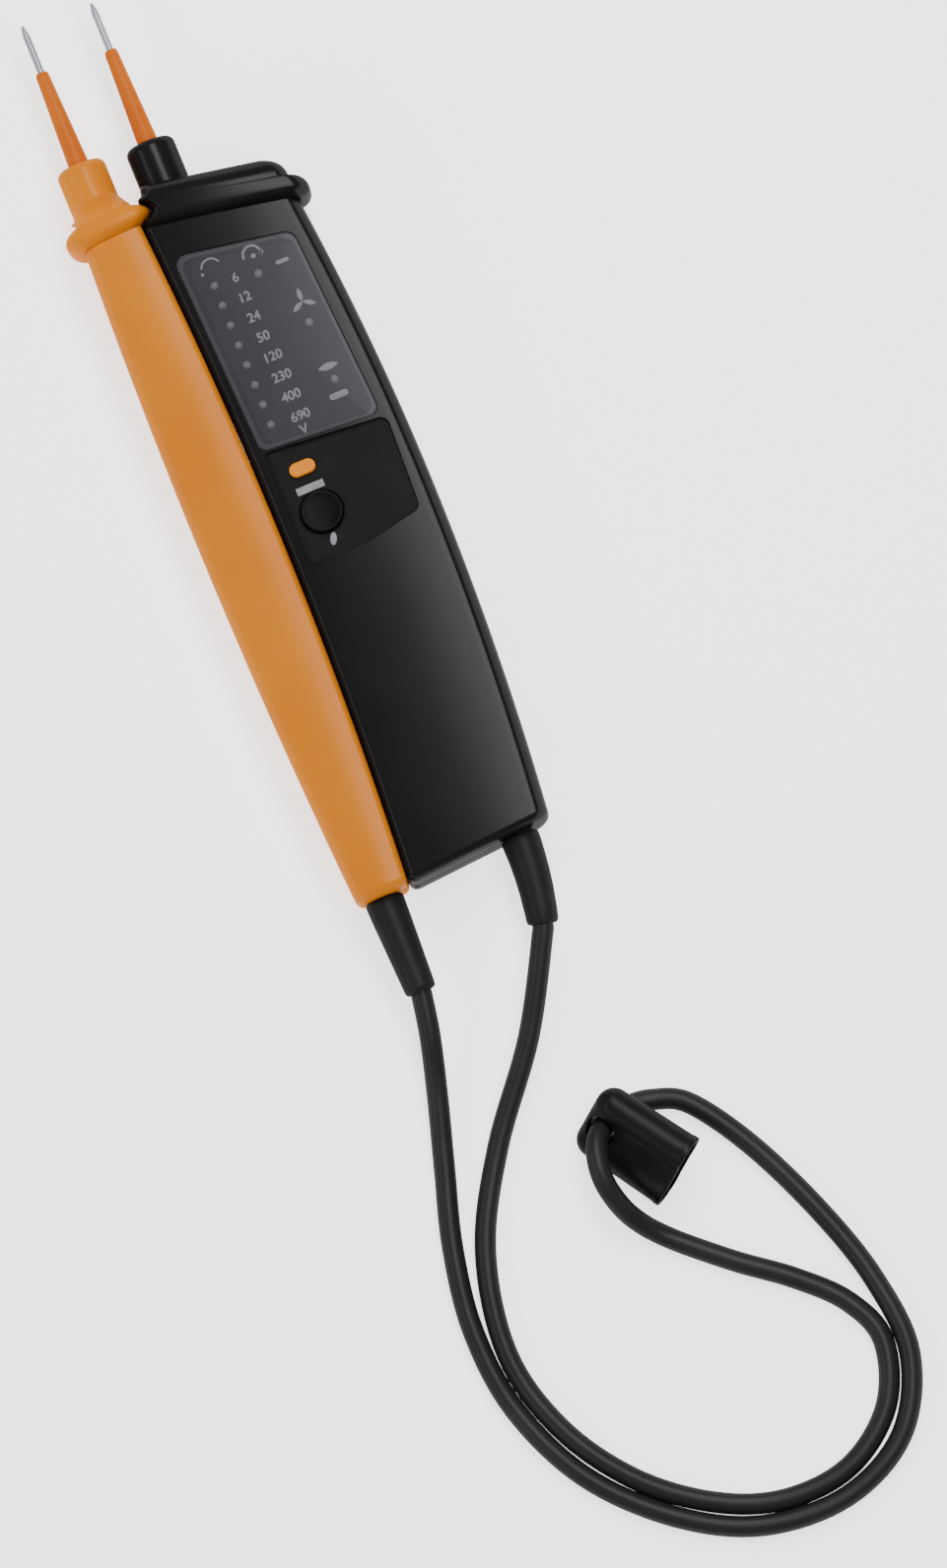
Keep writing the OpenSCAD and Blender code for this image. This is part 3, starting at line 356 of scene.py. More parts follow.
def disc(x, y, r, steps=48):
    return [(x + r * math.cos(t), y + r * math.sin(t)) for t in np.arange(steps) * 2 * math.pi / steps]


def rounded(points, radii, steps=8):
    """Outline with rounded corners from corner points, anticlockwise."""
    out = []
    p = [np.array(q, float) for q in points]
    for i, q in enumerate(p):
        a, b = p[i - 1] - q, p[(i + 1) % len(p)] - q
        a, b = a / np.linalg.norm(a), b / np.linalg.norm(b)
        half = math.acos(float(np.clip(a @ b, -1, 1))) / 2
        middle = q + (a + b) / np.linalg.norm(a + b) * radii[i] / math.sin(half)
        start = q + a * ((middle - q) @ a) - middle
        t0, sweep = math.atan2(start[1], start[0]), math.pi - 2 * half
        turns = [t0 + sweep * k / steps for k in range(steps + 1)]
        out += [tuple(middle + radii[i] * np.array((math.cos(t), math.sin(t)))) for t in turns]
    return out


def window_outline(inset=0.0, step=0.0):
    """The window's outline, drawn in by inset on every side and by step more at the left and the top."""
    left, right = WINDOW_LEFT + step + inset, WINDOW_RIGHT + inset
    foot = WINDOW_FOOT_Y + inset
    foot_r = foot - DISPLAY_SLOPE * WIDE
    top_l = guard_y(0) - WINDOW_TOP - step - inset
    top_r = guard_y(side_x(top_l)) - WINDOW_TOP - step - inset
    return rounded([(seam_x(foot) + left, foot - DISPLAY_SLOPE * seam_x(foot)),
                    (side_x(foot_r) - right, foot_r + DISPLAY_SLOPE * right),
                    (side_x(top_r) - right, top_r - GUARD_SLOPE * right),
                    (seam_x(top_l) + left, top_l + GUARD_SLOPE * left)], WINDOW_CORNERS)


def panel_outline(inset=0.0):
    """The panel's outline: its foot runs level to the middle of the housing and then rises to the side."""
    left, right = PANEL_LEFT + inset, PANEL_RIGHT + inset
    foot, top_l = PANEL_FOOT_Y + inset, PANEL_TOP_Y - inset
    top_r = top_l - DISPLAY_SLOPE * WIDE
    return rounded([(seam_x(foot) + left, foot), (WIDE / 2, foot),
                    (side_x(foot) - right - PANEL_SLANT, foot + PANEL_LIFT),
                    (side_x(top_r) - right, top_r), (seam_x(top_l) + left, top_l)], PANEL_CORNERS)


def turned(name, profile, axis_point, axis, material, steps=48, sharp=SHARP):
    """Solid of revolution from (radius, distance) pairs along an axis. A radius of 0 closes to a point."""
    d = np.array(axis, float) / np.linalg.norm(axis)
    s = np.cross(d, (0, 0, 1) if abs(d[2]) < 0.9 else (1, 0, 0))
    s = s / np.linalg.norm(s)
    u = np.cross(s, d)
    rings = []
    for r, h in profile:
        c = np.array(axis_point, float) + d * h
        rings.append([c + max(r, POINT_R) * (s * math.cos(t) + u * math.sin(t))
                      for t in np.arange(steps) * 2 * math.pi / steps])
    return piece(name, *loft(rings), material, sharp)


def peg_holes():
    profile = [(PEG_HOLE_R, -PEG_HOLE_OUT), (PEG_HOLE_R, PEG_HOLE_IN)]
    return [turned("peg_hole", profile, (seam_x(y), y, PARTING), (1, 0, 0), black_abs) for y in PEGS_Y]


def screw_wells(places):
    return [cutter("screw_well", disc(x, y, SCREW_WELL_R), UNDER_BACK, SCREW_SEAT_Z) for x, y in places]


# Black ABS from a lightly polished mould: satin, with a faint grain and a slow drift in shade.
black_abs = finish("black_abs", "#131314", "#171718", rough=(0.22, 0.28), ior=1.01, patch=25, grain=0.35,
                   depth=0.005, coat=0.045)
black_slopes = (TAIL_SLOPE, GUARD_SLOPE)
front = piece("indicator_front_skin", *shell(
    lambda y: seam_x(y) + SEAM_GAP, side_x, BLACK_TOP_Y, black_slopes, FACE_EDGES, True), black_abs)
back = piece("indicator_back_skin", *shell(
    lambda y: seam_x(y) + SEAM_GAP, side_x, BLACK_TOP_Y, black_slopes, BACK_EDGES, False, crown=0.0),
    black_abs)
carve(front,
      cutter("window_cut", window_outline(-WINDOW_GAP), WINDOW_SEAT_Z, OVER_FACE),
      cutter("legend_cut", window_outline(LEGEND_LEDGE, LEGEND_STEP), LEGEND_SEAT_Z, OVER_FACE),
      cutter("panel_cut", panel_outline(-PANEL_GAP), PANEL_SEAT_Z, OVER_FACE),
      cutter("keys_cut", panel_outline(KEYS_LEDGE), KEYS_SEAT_Z, OVER_FACE), *peg_holes())
door = oblong(DOOR_LEFT, DOOR_RIGHT, DOOR_TAIL_Y, DOOR_TOP_Y)
nose_screw = (NOSE_SCREW_X, guard_y(NOSE_SCREW_X) - NOSE_SCREW_BACK)
carve(back, cutter("door_cut", door, UNDER_BACK, DOOR_SEAT_Z),
      *screw_wells(SCREWS + (nose_screw,)), *peg_holes())
for o in (front, back):
    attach(o, "indicator")
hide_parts("indicator_front_shell")
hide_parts("indicator_back_shell")


# Orange handle
# The slave handle's two ABS half shells, as long as the black ones and 20 mm wide, held by three screws
# from behind. They are rounded wide on the grip side and tightly at the seam, where the edge catches light.
HANDLE_BOW = (20.4, 1.815, 3.3, 80.0)
HANDLE_TOP_Y, HANDLE_SLOPE, HANDLE_CROWN = -1.7, 0.045, 0.45
HANDLE_FACE_EDGES = ((3.8, 8.0), (1.6, 2.2))
HANDLE_BACK_EDGES = ((3.5, 8.0), (1.5, 1.5))
HANDLE_SCREWS = ((-10.5, -60.0), (-10.5, -150.0), (-11.4, -5.0))


def handle_x(y):
    return -bow(y, *HANDLE_BOW)


# Orange ABS, moulded like the black: satin, a little deeper in patches, so that it doesn't look painted.
orange_abs = finish("orange_abs", "#CF750C", "#D57C10", rough=(0.2, 0.26), ior=1.01, patch=30, grain=0.35,
                    depth=0.007, coat=0.035)
grip_front = piece("handle_front_skin", *shell(
    handle_x, lambda y: seam_x(y) - SEAM_GAP, HANDLE_TOP_Y, (0, HANDLE_SLOPE), HANDLE_FACE_EDGES, True,
    crown=HANDLE_CROWN), orange_abs)
grip_back = piece("handle_back_skin", *shell(
    handle_x, lambda y: seam_x(y) - SEAM_GAP, HANDLE_TOP_Y, (0, HANDLE_SLOPE), HANDLE_BACK_EDGES, False,
    crown=0.0), orange_abs)
carve(grip_back, *screw_wells(HANDLE_SCREWS))
for o, node in ((grip_front, "handle_front_shell"), (grip_back, "handle_back_shell")):
    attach(o, "handle")
    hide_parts(node)


# Noses
# ABS noses, each with a finger guard that stands 4 mm out at the side and 3 mm above the face as a round
# bead, and a round neck, 13.3 mm across, for the sleeve. The black guard runs into a soft-ended shoulder,
# the orange one into a waist round its neck, and both draw in towards the floor.
GUARD_R, REACH, RISE = 3.0, 4.0, 3.0
BEAD_BEND = 0.72
EDGE_W, EDGE_H, EDGE_GROW = 3, 7, 1.2
FOOT_R, FOOT_DRAW_W, FOOT_DRAW_H = 1.5, 2.7, 10
SHOULDER_L, SHOULDER_DROP, SHOULDER_BEND = 5.8, 5.2, 2.6
CREST_L, CREST_FALL_SHARE, CREST_BEND = GUARD_R + SHOULDER_L, 0.5, 1.3
# The black nose's side towards the handle as (y, x).
INNER_SIDE = (
    (-3.25, -2.0), (-2.85, -2.0), (-1.75, -1.6), (-0.25, 0.95), (1.25, 1.7), (2.35, 1.5), (2.75, 1.2),
    (3.33, 0.55), (4.03, -0.7), (4.72, -0.6), (5.4, 0.4), (6.35, 0.7), (7.74, 0.9), (8.55, 1.2))
HANDLE_GUARD_Y, HANDLE_GUARD_GAP, HANDLE_BEAD_BEND = 1.4, 0.15, 1.6
WAIST_L, WAIST_IN, WAIST_BEND, WAIST_FALL_SHARE = 7, 0.4, 1.5, 0.35
NECK_R, NECK_ROUND, AXIS_Z = 6.65, 2.2, 13.0
BORE_R, BORE_FOOT_R, BORE_L = 2.95, 2.9, 3
BLACK_NECK_Y, BLACK_NECK_FLARE = 5.4, 1.6
ORANGE_NECK_Y, ORANGE_NECK_FLARE = 6.5, 1.2
PROBES = {"indicator": (7.6, 19.4), "handle": (-11.4, 20.7)}
BEAD_STEPS, SHOULDER_STEPS, WAIST_STEPS, NECK_STEPS = 25, 19, 17, 9


def ring_section(left, right, low, high, corners, steps=8):
    """Closed outline with four elliptical corners: foot right, top right, top left, foot left."""
    out = []
    spots = ((right, low, corners[0], 270, -1, 1), (right, high, corners[1], 0, -1, -1),
             (left, high, corners[2], 90, 1, -1), (left, low, corners[3], 180, 1, 1))
    for x, z, c, start, sx, sz in spots:
        for a in np.linspace(start, start + 90, steps + 1):
            t = math.radians(a)
            out.append((x + sx * c[0] + c[0] * math.cos(t), z + sz * c[1] + c[1] * math.sin(t)))
    return out


def lean_ring(outline, y, slope):
    return [(x, y + slope * x, z) for x, z in outline]


def inner_x(y):
    """The black nose's side towards the handle, hollowed where the orange guard lies against it."""
    return np.interp(y, *zip(*INNER_SIDE))


def crest(s):
    """How high the black nose stands over the face, s past the middle of its bead."""
    return RISE * (1 - CREST_FALL_SHARE * (s / CREST_L) ** CREST_BEND)


def bead_edge(g):
    return (EDGE_W + EDGE_GROW * g, EDGE_H + EDGE_GROW * g)


def guard_foot(g):
    """Outer corner at a guard's back, which draws in towards the floor the further the bead stands out."""
    return (FOOT_R + FOOT_DRAW_W * g, FOOT_R + FOOT_DRAW_H * g)


def neck(body, root, flare, material):
    """Round neck with a fillet at its root and a rounded, hollow mouth for the sleeve."""
    x, top = PROBES[body]
    turns = np.linspace(0, math.pi / 2, NECK_STEPS)
    rim_r, rim_y = NECK_R - NECK_ROUND, top - NECK_ROUND
    profile = [(NECK_R + flare * (1 - math.sin(t)), root + flare * (1 - math.cos(t))) for t in turns]
    profile += [(rim_r + NECK_ROUND * math.cos(t), rim_y + NECK_ROUND * math.sin(t)) for t in turns]
    profile += [(BORE_R, top), (BORE_FOOT_R, top - BORE_L)]
    return turned(body + "_neck", profile, (x, 0, AXIS_Z), (0, 1, 0), material)


def join(target, other):
    """Puts another piece's mesh into the first piece."""
    work = bmesh.new()
    work.from_mesh(target.data)
    work.from_mesh(other.data)
    bpy.data.objects.remove(other)
    work.to_mesh(target.data)
    work.free()


side = side_x(guard_y(WIDE))
edge, foot = (EDGE_W, EDGE_H), (FOOT_R, FOOT_R)
rings = []
for a in np.linspace(-math.pi / 2, math.pi / 2, BEAD_STEPS):
    g = max(math.cos(a), 0.0) ** BEAD_BEND
    y = GUARD_Y + GUARD_R * math.sin(a)
    rise = RISE * max(math.cos(a), 0.0) ** 2 if a < 0 else crest(GUARD_R * math.sin(a))
    rings.append(lean_ring(ring_section(inner_x(y), side + REACH * g, 0, THICK + rise,
                                        (guard_foot(g), bead_edge(g), edge, foot)), y, GUARD_SLOPE))
for t in np.linspace(0, 1, SHOULDER_STEPS)[1:]:
    past = GUARD_R + SHOULDER_L * t
    y = GUARD_Y + past
    drop = SHOULDER_DROP * (1 - math.sqrt(max(1 - t ** SHOULDER_BEND, 0.0)))
    high = THICK + crest(past) - drop
    rings.append(lean_ring(ring_section(inner_x(y), side - drop, drop, high, (edge,) * 4), y, GUARD_SLOPE))
black_nose = piece("indicator_nose_skin", *loft(rings), black_abs)
join(black_nose, neck("indicator", BLACK_NECK_Y, BLACK_NECK_FLARE, black_abs))
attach(black_nose, "indicator")
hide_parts("indicator_nose")

grip, seam = handle_x(0), seam_x(0) - HANDLE_GUARD_GAP
rings = []
for a in np.linspace(-math.pi / 2, math.pi / 2, BEAD_STEPS):
    g = max(math.cos(a), 0.0)
    y = HANDLE_GUARD_Y + GUARD_R * math.sin(a)
    rise = RISE * (g ** 2 if a < 0 else 1 - WAIST_FALL_SHARE * math.sin(a) ** WAIST_BEND)
    rings.append(lean_ring(ring_section(
        grip - REACH * g, seam + REACH * g ** HANDLE_BEAD_BEND, 0, THICK + rise,
        (foot, bead_edge(g), bead_edge(g), guard_foot(g))), y, HANDLE_SLOPE))
start = (grip, seam, 0, THICK + (1 - WAIST_FALL_SHARE) * RISE, EDGE_W, EDGE_H)
r = NECK_R - WAIST_IN
end = (PROBES["handle"][0] - r, PROBES["handle"][0] + r, AXIS_Z - r, AXIS_Z + r, r, r)
for t in np.linspace(0, 1, WAIST_STEPS)[1:]:
    w = math.sin(t * math.pi / 2) ** WAIST_BEND
    left, right, low, high, corner_w, corner_h = (a + (b - a) * w for a, b in zip(start, end))
    rings.append(lean_ring(ring_section(left, right, low, high, ((corner_w, corner_h),) * 4),
                           HANDLE_GUARD_Y + GUARD_R + WAIST_L * t, HANDLE_SLOPE * (1 - w)))
orange_nose = piece("handle_nose_skin", *loft(rings), orange_abs)
join(orange_nose, neck("handle", ORANGE_NECK_Y, ORANGE_NECK_FLARE, orange_abs))
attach(orange_nose, "handle")
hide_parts("handle_nose")


# Sleeves and probes
# Insulating sleeves, moulded in one taper from 5.5 to 3.5 mm with a small shoulder at the end, pushed into
# the necks. The steel probes stand 13.6 mm out of them, 2 mm thick and turned to a slim point. Profiles are
# (radius, distance from the neck's mouth).
SLEEVE = (
    (1.35, -12.8), (2.75, -12.8), (2.75, 0), (2.72, 1.6), (2.38, 10.6), (2.05, 18.6), (1.84, 25),
    (1.74, 25.9), (1.5, 26.45), (1.3, 26.5))
PROBE_TIP = (
    (1.2, 25.5), (1.2, 26.65), (1.0, 26.75), (1.0, 36.8), (0.96, 37.4), (0.55, 39.2), (0.26, 39.9),
    (0.08, 40.1))


def shader_of(material):
    return next(n for n in material.node_tree.nodes if n.type == "BSDF_PRINCIPLED")


# Orange polyamide: redder and duller than the housings. Turned steel: its marks, 0.12 mm apart here so that
# they show, break up a soft grey gloss.
sleeve_polyamide = finish("sleeve_orange", "#C05D10", "#C86514", rough=(0.34, 0.44), ior=1.03, patch=14,
                          grain=0.3, depth=0.008, coat=0.04)
turned_steel = finish("tip_steel", "#A4A5AB", "#B4B5BB", rough=(0.42, 0.52), ior=1.5, patch=10, grain=0.12,
                      depth=0.004)
shader_of(turned_steel).inputs["Metallic"].default_value = 1.0
for body, (x, top) in PROBES.items():
    mouth = (x, top, AXIS_Z)
    sleeve = turned(body + "_sleeve_skin", SLEEVE, mouth, (0, 1, 0), sleeve_polyamide, steps=40)
    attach(sleeve, body)
    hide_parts(body + "_sleeve")
    tip = turned(body + "_tip_skin", PROBE_TIP, mouth, (0, 1, 0), turned_steel, steps=32)
    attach(tip, body)
    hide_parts(body + "_probe")


# Display
# An acrylic smoke window, pressed onto a ledge, crowned like the face and rounded at its rim, and 1 mm wider
# at its left and top than part.scad's, as the photograph shows. Under it are a film, lamps, and the print:
# pale figures, arcs and symbols. A thin grey ring under its rim is a painted highlight of the rounded rim.
WINDOW_FOOT_Z, WINDOW_ROUND = 24.6, 0.45
SHELL_GAP = 0.15
PRINT_Z, RIM_HIGHLIGHT_UNDER = 24.575, 0.01
# Insets of a painted highlight: a pale ring under the window's rim that stands in for light on the rounded
# rim.
RIM_HIGHLIGHT_FROM, RIM_HIGHLIGHT_TO = 0.3, 1.3
# Marks of the print: arcs (x, y, radius, band, from, to), dots (x, y, radius), bars (x, y, length, width)
# and leaves (x, y, angle, length, width), three of which make a star.
ARCS = ((10.6, -19.4, 2.6, 0.5, 20, 165), (21.8, -20.1, 2.4, 0.65, -20, 190))
DOTS = ((7.8, -20.2, 0.45), (22.0, -20.5, 0.65), (24.3, -20.3, 0.6))
BARS = ((28.5, -24.6, 3.6, 1.1), (29.0, -63.0, 5.2, 1.7))
LEAVES = ((26.4, -55.0, 0, 5.6, 1.9), (29.4, -36.5, 90, 3.7, 1.35), (29.4, -36.5, 210, 3.7, 1.35),
          (29.4, -36.5, 330, 3.7, 1.35))
LEAF_BEND = 0.8
FIGURES = ("6", "12", "24", "50", "120", "230", "400", "690")
FIGURE_H, FIGURE_X, FIGURE_Y = 3.5, 15.5, -24.1
FIGURE_STEP_X, FIGURE_STEP_Y = 0.31, -5.74
VOLT_AT = (17.2, -68.0)
BOLD, BOLD_LIFT = 0.11, 0.003
HAZE_PATCH = 22
RIM_STEPS, LEAF_STEPS, DOT_SIDES, BAR_STEPS = 6, 9, 16, 8
PLATE_SHARP = 40


def crowned_plate(name, outline_at, low, height, round_r, material, insets=14):
    """Plate whose top follows height(x, y) and whose rim is rounded, from outlines that shrink inwards."""
    rings = [[(x, y, low) for x, y in outline_at(0)]]
    for a in np.linspace(0, math.pi / 2, RIM_STEPS):
        rings.append([(x, y, height(x, y) - round_r * (1 - math.sin(a)))
                      for x, y in outline_at(round_r * (1 - math.cos(a)))])
    rim = np.array(outline_at(round_r))
    middle = rim.mean(axis=0)
    for k in range(1, insets + 1):
        rings.append([(x, y, height(x, y)) for x, y in middle + (rim - middle) * (1 - k / (insets + 0.5))])
    return piece(name, *loft(rings), material, PLATE_SHARP)


def face_height(x, y):
    left, right = seam_x(y) + SHELL_GAP + FACE_EDGES[0][0], side_x(y) - FACE_EDGES[1][0]
    return face_z(min(max(x, left), right), left, right)


def pill_outline(x, y, length, width, steps=16):
    out = []
    for side, start in ((1, -math.pi / 2), (-1, math.pi / 2)):
        end_x = x + side * (length - width) / 2
        out += [(end_x + width / 2 * math.cos(t), y + width / 2 * math.sin(t))
                for t in np.linspace(start, start + math.pi, steps)]
    return out


def leaf(x, y, angle, length, width):
    """Slim leaf that starts at a point."""
    a = math.radians(angle)
    way, flank = np.array((math.cos(a), math.sin(a))), np.array((-math.sin(a), math.cos(a)))
    along = np.linspace(0, 1, LEAF_STEPS)
    half = width / 2 * np.sin(math.pi * along) ** LEAF_BEND
    lower = [tuple(np.array((x, y)) + way * length * t - flank * h) for t, h in zip(along, half)]
    upper = [tuple(np.array((x, y)) + way * length * t + flank * h) for t, h in zip(along, half)]
    return lower + upper[-2:0:-1]


def arc_band(x, y, r, width, start, end, steps=18):
    turns = np.radians(np.linspace(start, end, steps))
    return ([(x + (r + width / 2) * math.cos(t), y + (r + width / 2) * math.sin(t)) for t in turns]
            + [(x + (r - width / 2) * math.cos(t), y + (r - width / 2) * math.sin(t)) for t in turns[::-1]])


def bold_figure(figure, x, y):
    """A figure drawn five times, a little apart, so that its strokes are as bold as the print."""
    curve = bpy.data.curves.new("figure", "FONT")
    curve.body = figure
    curve.size = FIGURE_H * MM
    curve.align_x = curve.align_y = "CENTER"
    text = bpy.data.objects.new("figure", curve)
    thin = bpy.data.meshes.new_from_object(text)
    bpy.data.objects.remove(text)
    bold = bmesh.new()
    for k, (dx, dy) in enumerate(((0, 0), (BOLD, 0), (-BOLD, 0), (0, BOLD), (0, -BOLD))):
        copy = thin.copy()
        copy.transform(Matrix.Translation(Vector(at(x + dx, y + dy, PRINT_Z + BOLD_LIFT * k))))
        bold.from_mesh(copy)
        bpy.data.meshes.remove(copy)
    mesh = bpy.data.meshes.new("figure")
    bold.to_mesh(mesh)
    bold.free()
    mesh.materials.append(legend_ink)
    o = bpy.data.objects.new("figure_" + (figure if figure != "V" else "volt"), mesh)
    bpy.context.scene.collection.objects.link(o)
    return o


# Smoked acrylic, bluish and softly glossy: two thirds of the light comes through it, so a grey haze lies
# over the lamps and the print.
smoke = bpy.data.materials.new("smoke_window")
smoke.use_nodes = True
smoke.node_tree.nodes.clear()
spot = add(smoke, "ShaderNodeTexCoord").outputs["Object"]
haze = add(smoke, "ShaderNodeTexNoise", {"Scale": 1 / (HAZE_PATCH * MM), "Detail": 2.0}, {"Vector": spot})
haze_shade = shade_ramp(smoke, haze.outputs["Fac"], "#3A3A40", "#424248")
polish = add(smoke, "ShaderNodeMapRange", {"To Min": 0.3, "To Max": 0.34}, {"Value": haze.outputs["Fac"]})
smoke_shader = add(
    smoke, "ShaderNodeBsdfPrincipled",
    {"Alpha": 0.35, "IOR": 1.03, "Coat Weight": 0.11, "Coat IOR": COAT_IOR, "Coat Roughness": 0.3},
    {"Base Color": haze_shade, "Roughness": polish.outputs["Result"]})
add(smoke, "ShaderNodeOutputMaterial", None, {"Surface": smoke_shader.outputs["BSDF"]})
# Screen-printed ink, matt and flat: pale lilac grey for the figures. The mid grey ring under the window's rim
# is no ink but a painted highlight of the rounded rim.
legend_ink = finish("legend_print", "#D8D6E4", "#E4E2EE", rough=(0.4, 0.5), ior=1.1, patch=3, grain=0.2,
                    depth=0.002)
# Painted highlight: a mid grey, lighter than the film, for the ring under the window's rim, standing in for
# light on its rounded edge.
rim_highlight_paint = finish("painted_rim_highlight", "#5A5A60", "#626268", rough=(0.5, 0.6), ior=1.1, patch=5, grain=0.3,
                    depth=0.0)

window = crowned_plate("window_skin", window_outline, WINDOW_FOOT_Z, face_height, WINDOW_ROUND, smoke)
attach(window, "indicator")
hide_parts("display_window")

marks = [arc_band(*q) for q in ARCS] + [disc(*q, DOT_SIDES) for q in DOTS]
marks += [pill_outline(*q, BAR_STEPS) for q in BARS] + [leaf(*q) for q in LEAVES]
points, faces = [], []
for mark in marks:
    faces.append(tuple(range(len(points), len(points) + len(mark))))
    points += [(x, y, PRINT_Z) for x, y in mark]
symbols = piece("display_symbols", points, faces, legend_ink, smooth=False)
for p in symbols.data.polygons:
    if p.normal.z < 0:
        p.flip()
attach(symbols, "indicator")

# Painted highlight: a pale grey ring just under the window's rounded rim, in place of the light that the rim
# catches.
around = [[(x, y, PRINT_Z - RIM_HIGHLIGHT_UNDER) for x, y in window_outline(inset)]
          for inset in (RIM_HIGHLIGHT_FROM, RIM_HIGHLIGHT_TO)]
rim_highlight = piece("painted_rim_highlight", *loft(around, closed=False), rim_highlight_paint, smooth=False)
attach(rim_highlight, "indicator")

figures = [(f, FIGURE_X + FIGURE_STEP_X * i, FIGURE_Y + FIGURE_STEP_Y * i) for i, f in enumerate(FIGURES)]
for figure, x, y in figures + [("V", *VOLT_AT)]:
    o = bold_figure(figure, x, y)
    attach(o, "indicator")


# Control panel and keys
# A matt ABS panel, sunk 1 mm below the face, with two rubber keys that press straight in through it: a round
# one 11.4 mm across, with a dished top and a soft rim, and an orange pill of 7.2 by 3.8 mm. Between them a
# bare pale label is printed on the panel, and past the round key a small pale drop.
PANEL_DROP, PANEL_FOOT_Z, PANEL_ROUND = 1.0, 24.2, 0.15
KEY_X, KEY_Y, KEY_L, KEY_W = 12.9, -77.4, 7.2, 3.8
BUTTON_X, BUTTON_Y, BUTTON_R = 13.4, -89.9, 5.7
KEY_GAP, HOLE_FOOT_Z = 0.3, 20
# The round key's profile is (radius, height), and the pill's edge is (how far it draws in, height).
BUTTON = (
    (0, 26.1), (1.5, 26.12), (3.0, 26.2), (4.0, 26.36), (4.6, 26.55), (4.95, 26.66), (5.3, 26.65),
    (5.55, 26.5), (5.68, 26.2), (BUTTON_R, 25.8), (BUTTON_R, 23.9), (6.5, 23.9), (6.5, 23.3), (1.5, 23.3),
    (1.5, 21.3), (0, 21.3))
KEY_EDGE = ((0, 23.9), (0, 25.7), (0.08, 25.95), (0.25, 26.12), (0.5, 26.2), (1.2, 26.2))
LABEL_LEFT, LABEL_RIGHT, LABEL_FOOT_Y, LABEL_TOP_Y = 9.1, 16.7, -83.9, -81.9
DROP_X, DROP_Y = 13.5, -97.7
DROP_W, DROP_LEAN, DROP_RISE, DROP_L = 0.8, 0.65, 0.3, 1.6
DROP_SIDES, BUTTON_SIDES, PANEL_INSETS = 24, 64, 10
BUTTON_SHARP, KEY_SHARP = 40, 50
PRINT_LOW, PRINT_HIGH = -0.02, 0.04

# Matt textured ABS, silicone rubber for the round key, a slightly glossier orange one, and grey label ink.
panel_abs = finish("panel_matt", "#101011", "#141415", rough=(0.6, 0.72), ior=1.03, patch=14, grain=0.3,
                   depth=0.01, coat=0.04)
key_rubber = finish("key_rubber", "#08080A", "#0C0C0D", rough=(0.42, 0.52), ior=1.03, patch=8, grain=0.25,
                    depth=0.01, coat=0.024)
key_silicone = finish("key_orange", "#E0841C", "#E68A20", rough=(0.36, 0.44), ior=1.03, patch=6, grain=0.25,
                      depth=0.006, coat=0.025)
label_ink = finish("label_print", "#7E7E82", "#8E8E92", rough=(0.45, 0.55), ior=1.3, patch=2.5, grain=0.3,
                   depth=0.002)

panel = crowned_plate("panel_skin", panel_outline, PANEL_FOOT_Z, lambda x, y: face_height(x, y) - PANEL_DROP,
                      PANEL_ROUND, panel_abs, PANEL_INSETS)
key_hole = pill_outline(KEY_X, KEY_Y, KEY_L + 2 * KEY_GAP, KEY_W + 2 * KEY_GAP)
button_hole = disc(BUTTON_X, BUTTON_Y, BUTTON_R + KEY_GAP, BUTTON_SIDES)
carve(panel, cutter("key_hole", key_hole, HOLE_FOOT_Z, OVER_FACE),
      cutter("button_hole", button_hole, HOLE_FOOT_Z, OVER_FACE))
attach(panel, "indicator")
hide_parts("control_panel")

button = turned("round_button_skin", BUTTON, (BUTTON_X, BUTTON_Y, 0), (0, 0, 1), key_rubber,
                BUTTON_SIDES, BUTTON_SHARP)
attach(button, "round_button")
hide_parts("round_button")

rings = [[(x, y, z) for x, y in pill_outline(KEY_X, KEY_Y, KEY_L - 2 * r, KEY_W - 2 * r)]
         for r, z in KEY_EDGE]
key = piece("orange_key_skin", *loft(rings), key_silicone, KEY_SHARP)
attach(key, "orange_key")
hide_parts("orange_key")

label = oblong(LABEL_LEFT, LABEL_RIGHT, LABEL_FOOT_Y, LABEL_TOP_Y)
drop = [(DROP_X + DROP_W * math.cos(t) + DROP_LEAN * math.sin(t),
         DROP_Y - DROP_RISE * math.cos(t) + DROP_L * math.sin(t))
        for t in np.arange(DROP_SIDES) * 2 * math.pi / DROP_SIDES]
for name, outline in (("bare_label", label), ("drop_mark", drop)):
    plate = piece(name, *loft([[(x, y, face_height(x, y) - PANEL_DROP + h) for x, y in outline]
                               for h in (PRINT_LOW, PRINT_HIGH)]), label_ink)
    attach(plate, "indicator")


# Boots
# Moulded rubber sleeves round the cable, held in the housings' tails and tapered from 10.5 to 8.5 mm, with
# rounded ends and a shallow mouth that the cable leaves. The black unit's one bends a little to the left.
HANDLE_BOOT_X, BLACK_BOOT_X, BLACK_BOOT_IN = -10, 29.011, 0.3
BLACK_BOOT_END = (26.11, -210.89, 11.9)
BOOT_SIDES = 40
# The straight one is (radius, distance from the tail), and the bent one (share of its length, radius).
STRAIGHT_BOOT = (
    (3.9, 2.3), (3.9, 0.0), (4.4, -0.1), (4.95, -0.3), (5.2, -0.9), (5.25, -1.6), (5.1, -6.0), (4.6, -17.0),
    (4.25, -25.0), (4.1, -25.9), (3.7, -26.35), (3.1, -26.5), (2.85, -26.3), (2.85, -24))
BENT_BOOT = (
    (-0.09, 3.9), (0, 3.9), (0.001, 4.5), (0.014, 4.95), (0.045, 5.2), (0.1, 5.18), (0.25, 5.0), (0.45, 4.8),
    (0.65, 4.6), (0.85, 4.38), (0.95, 4.25), (0.985, 4.0), (1.0, 3.4), (1.001, 2.86), (0.92, 2.85))

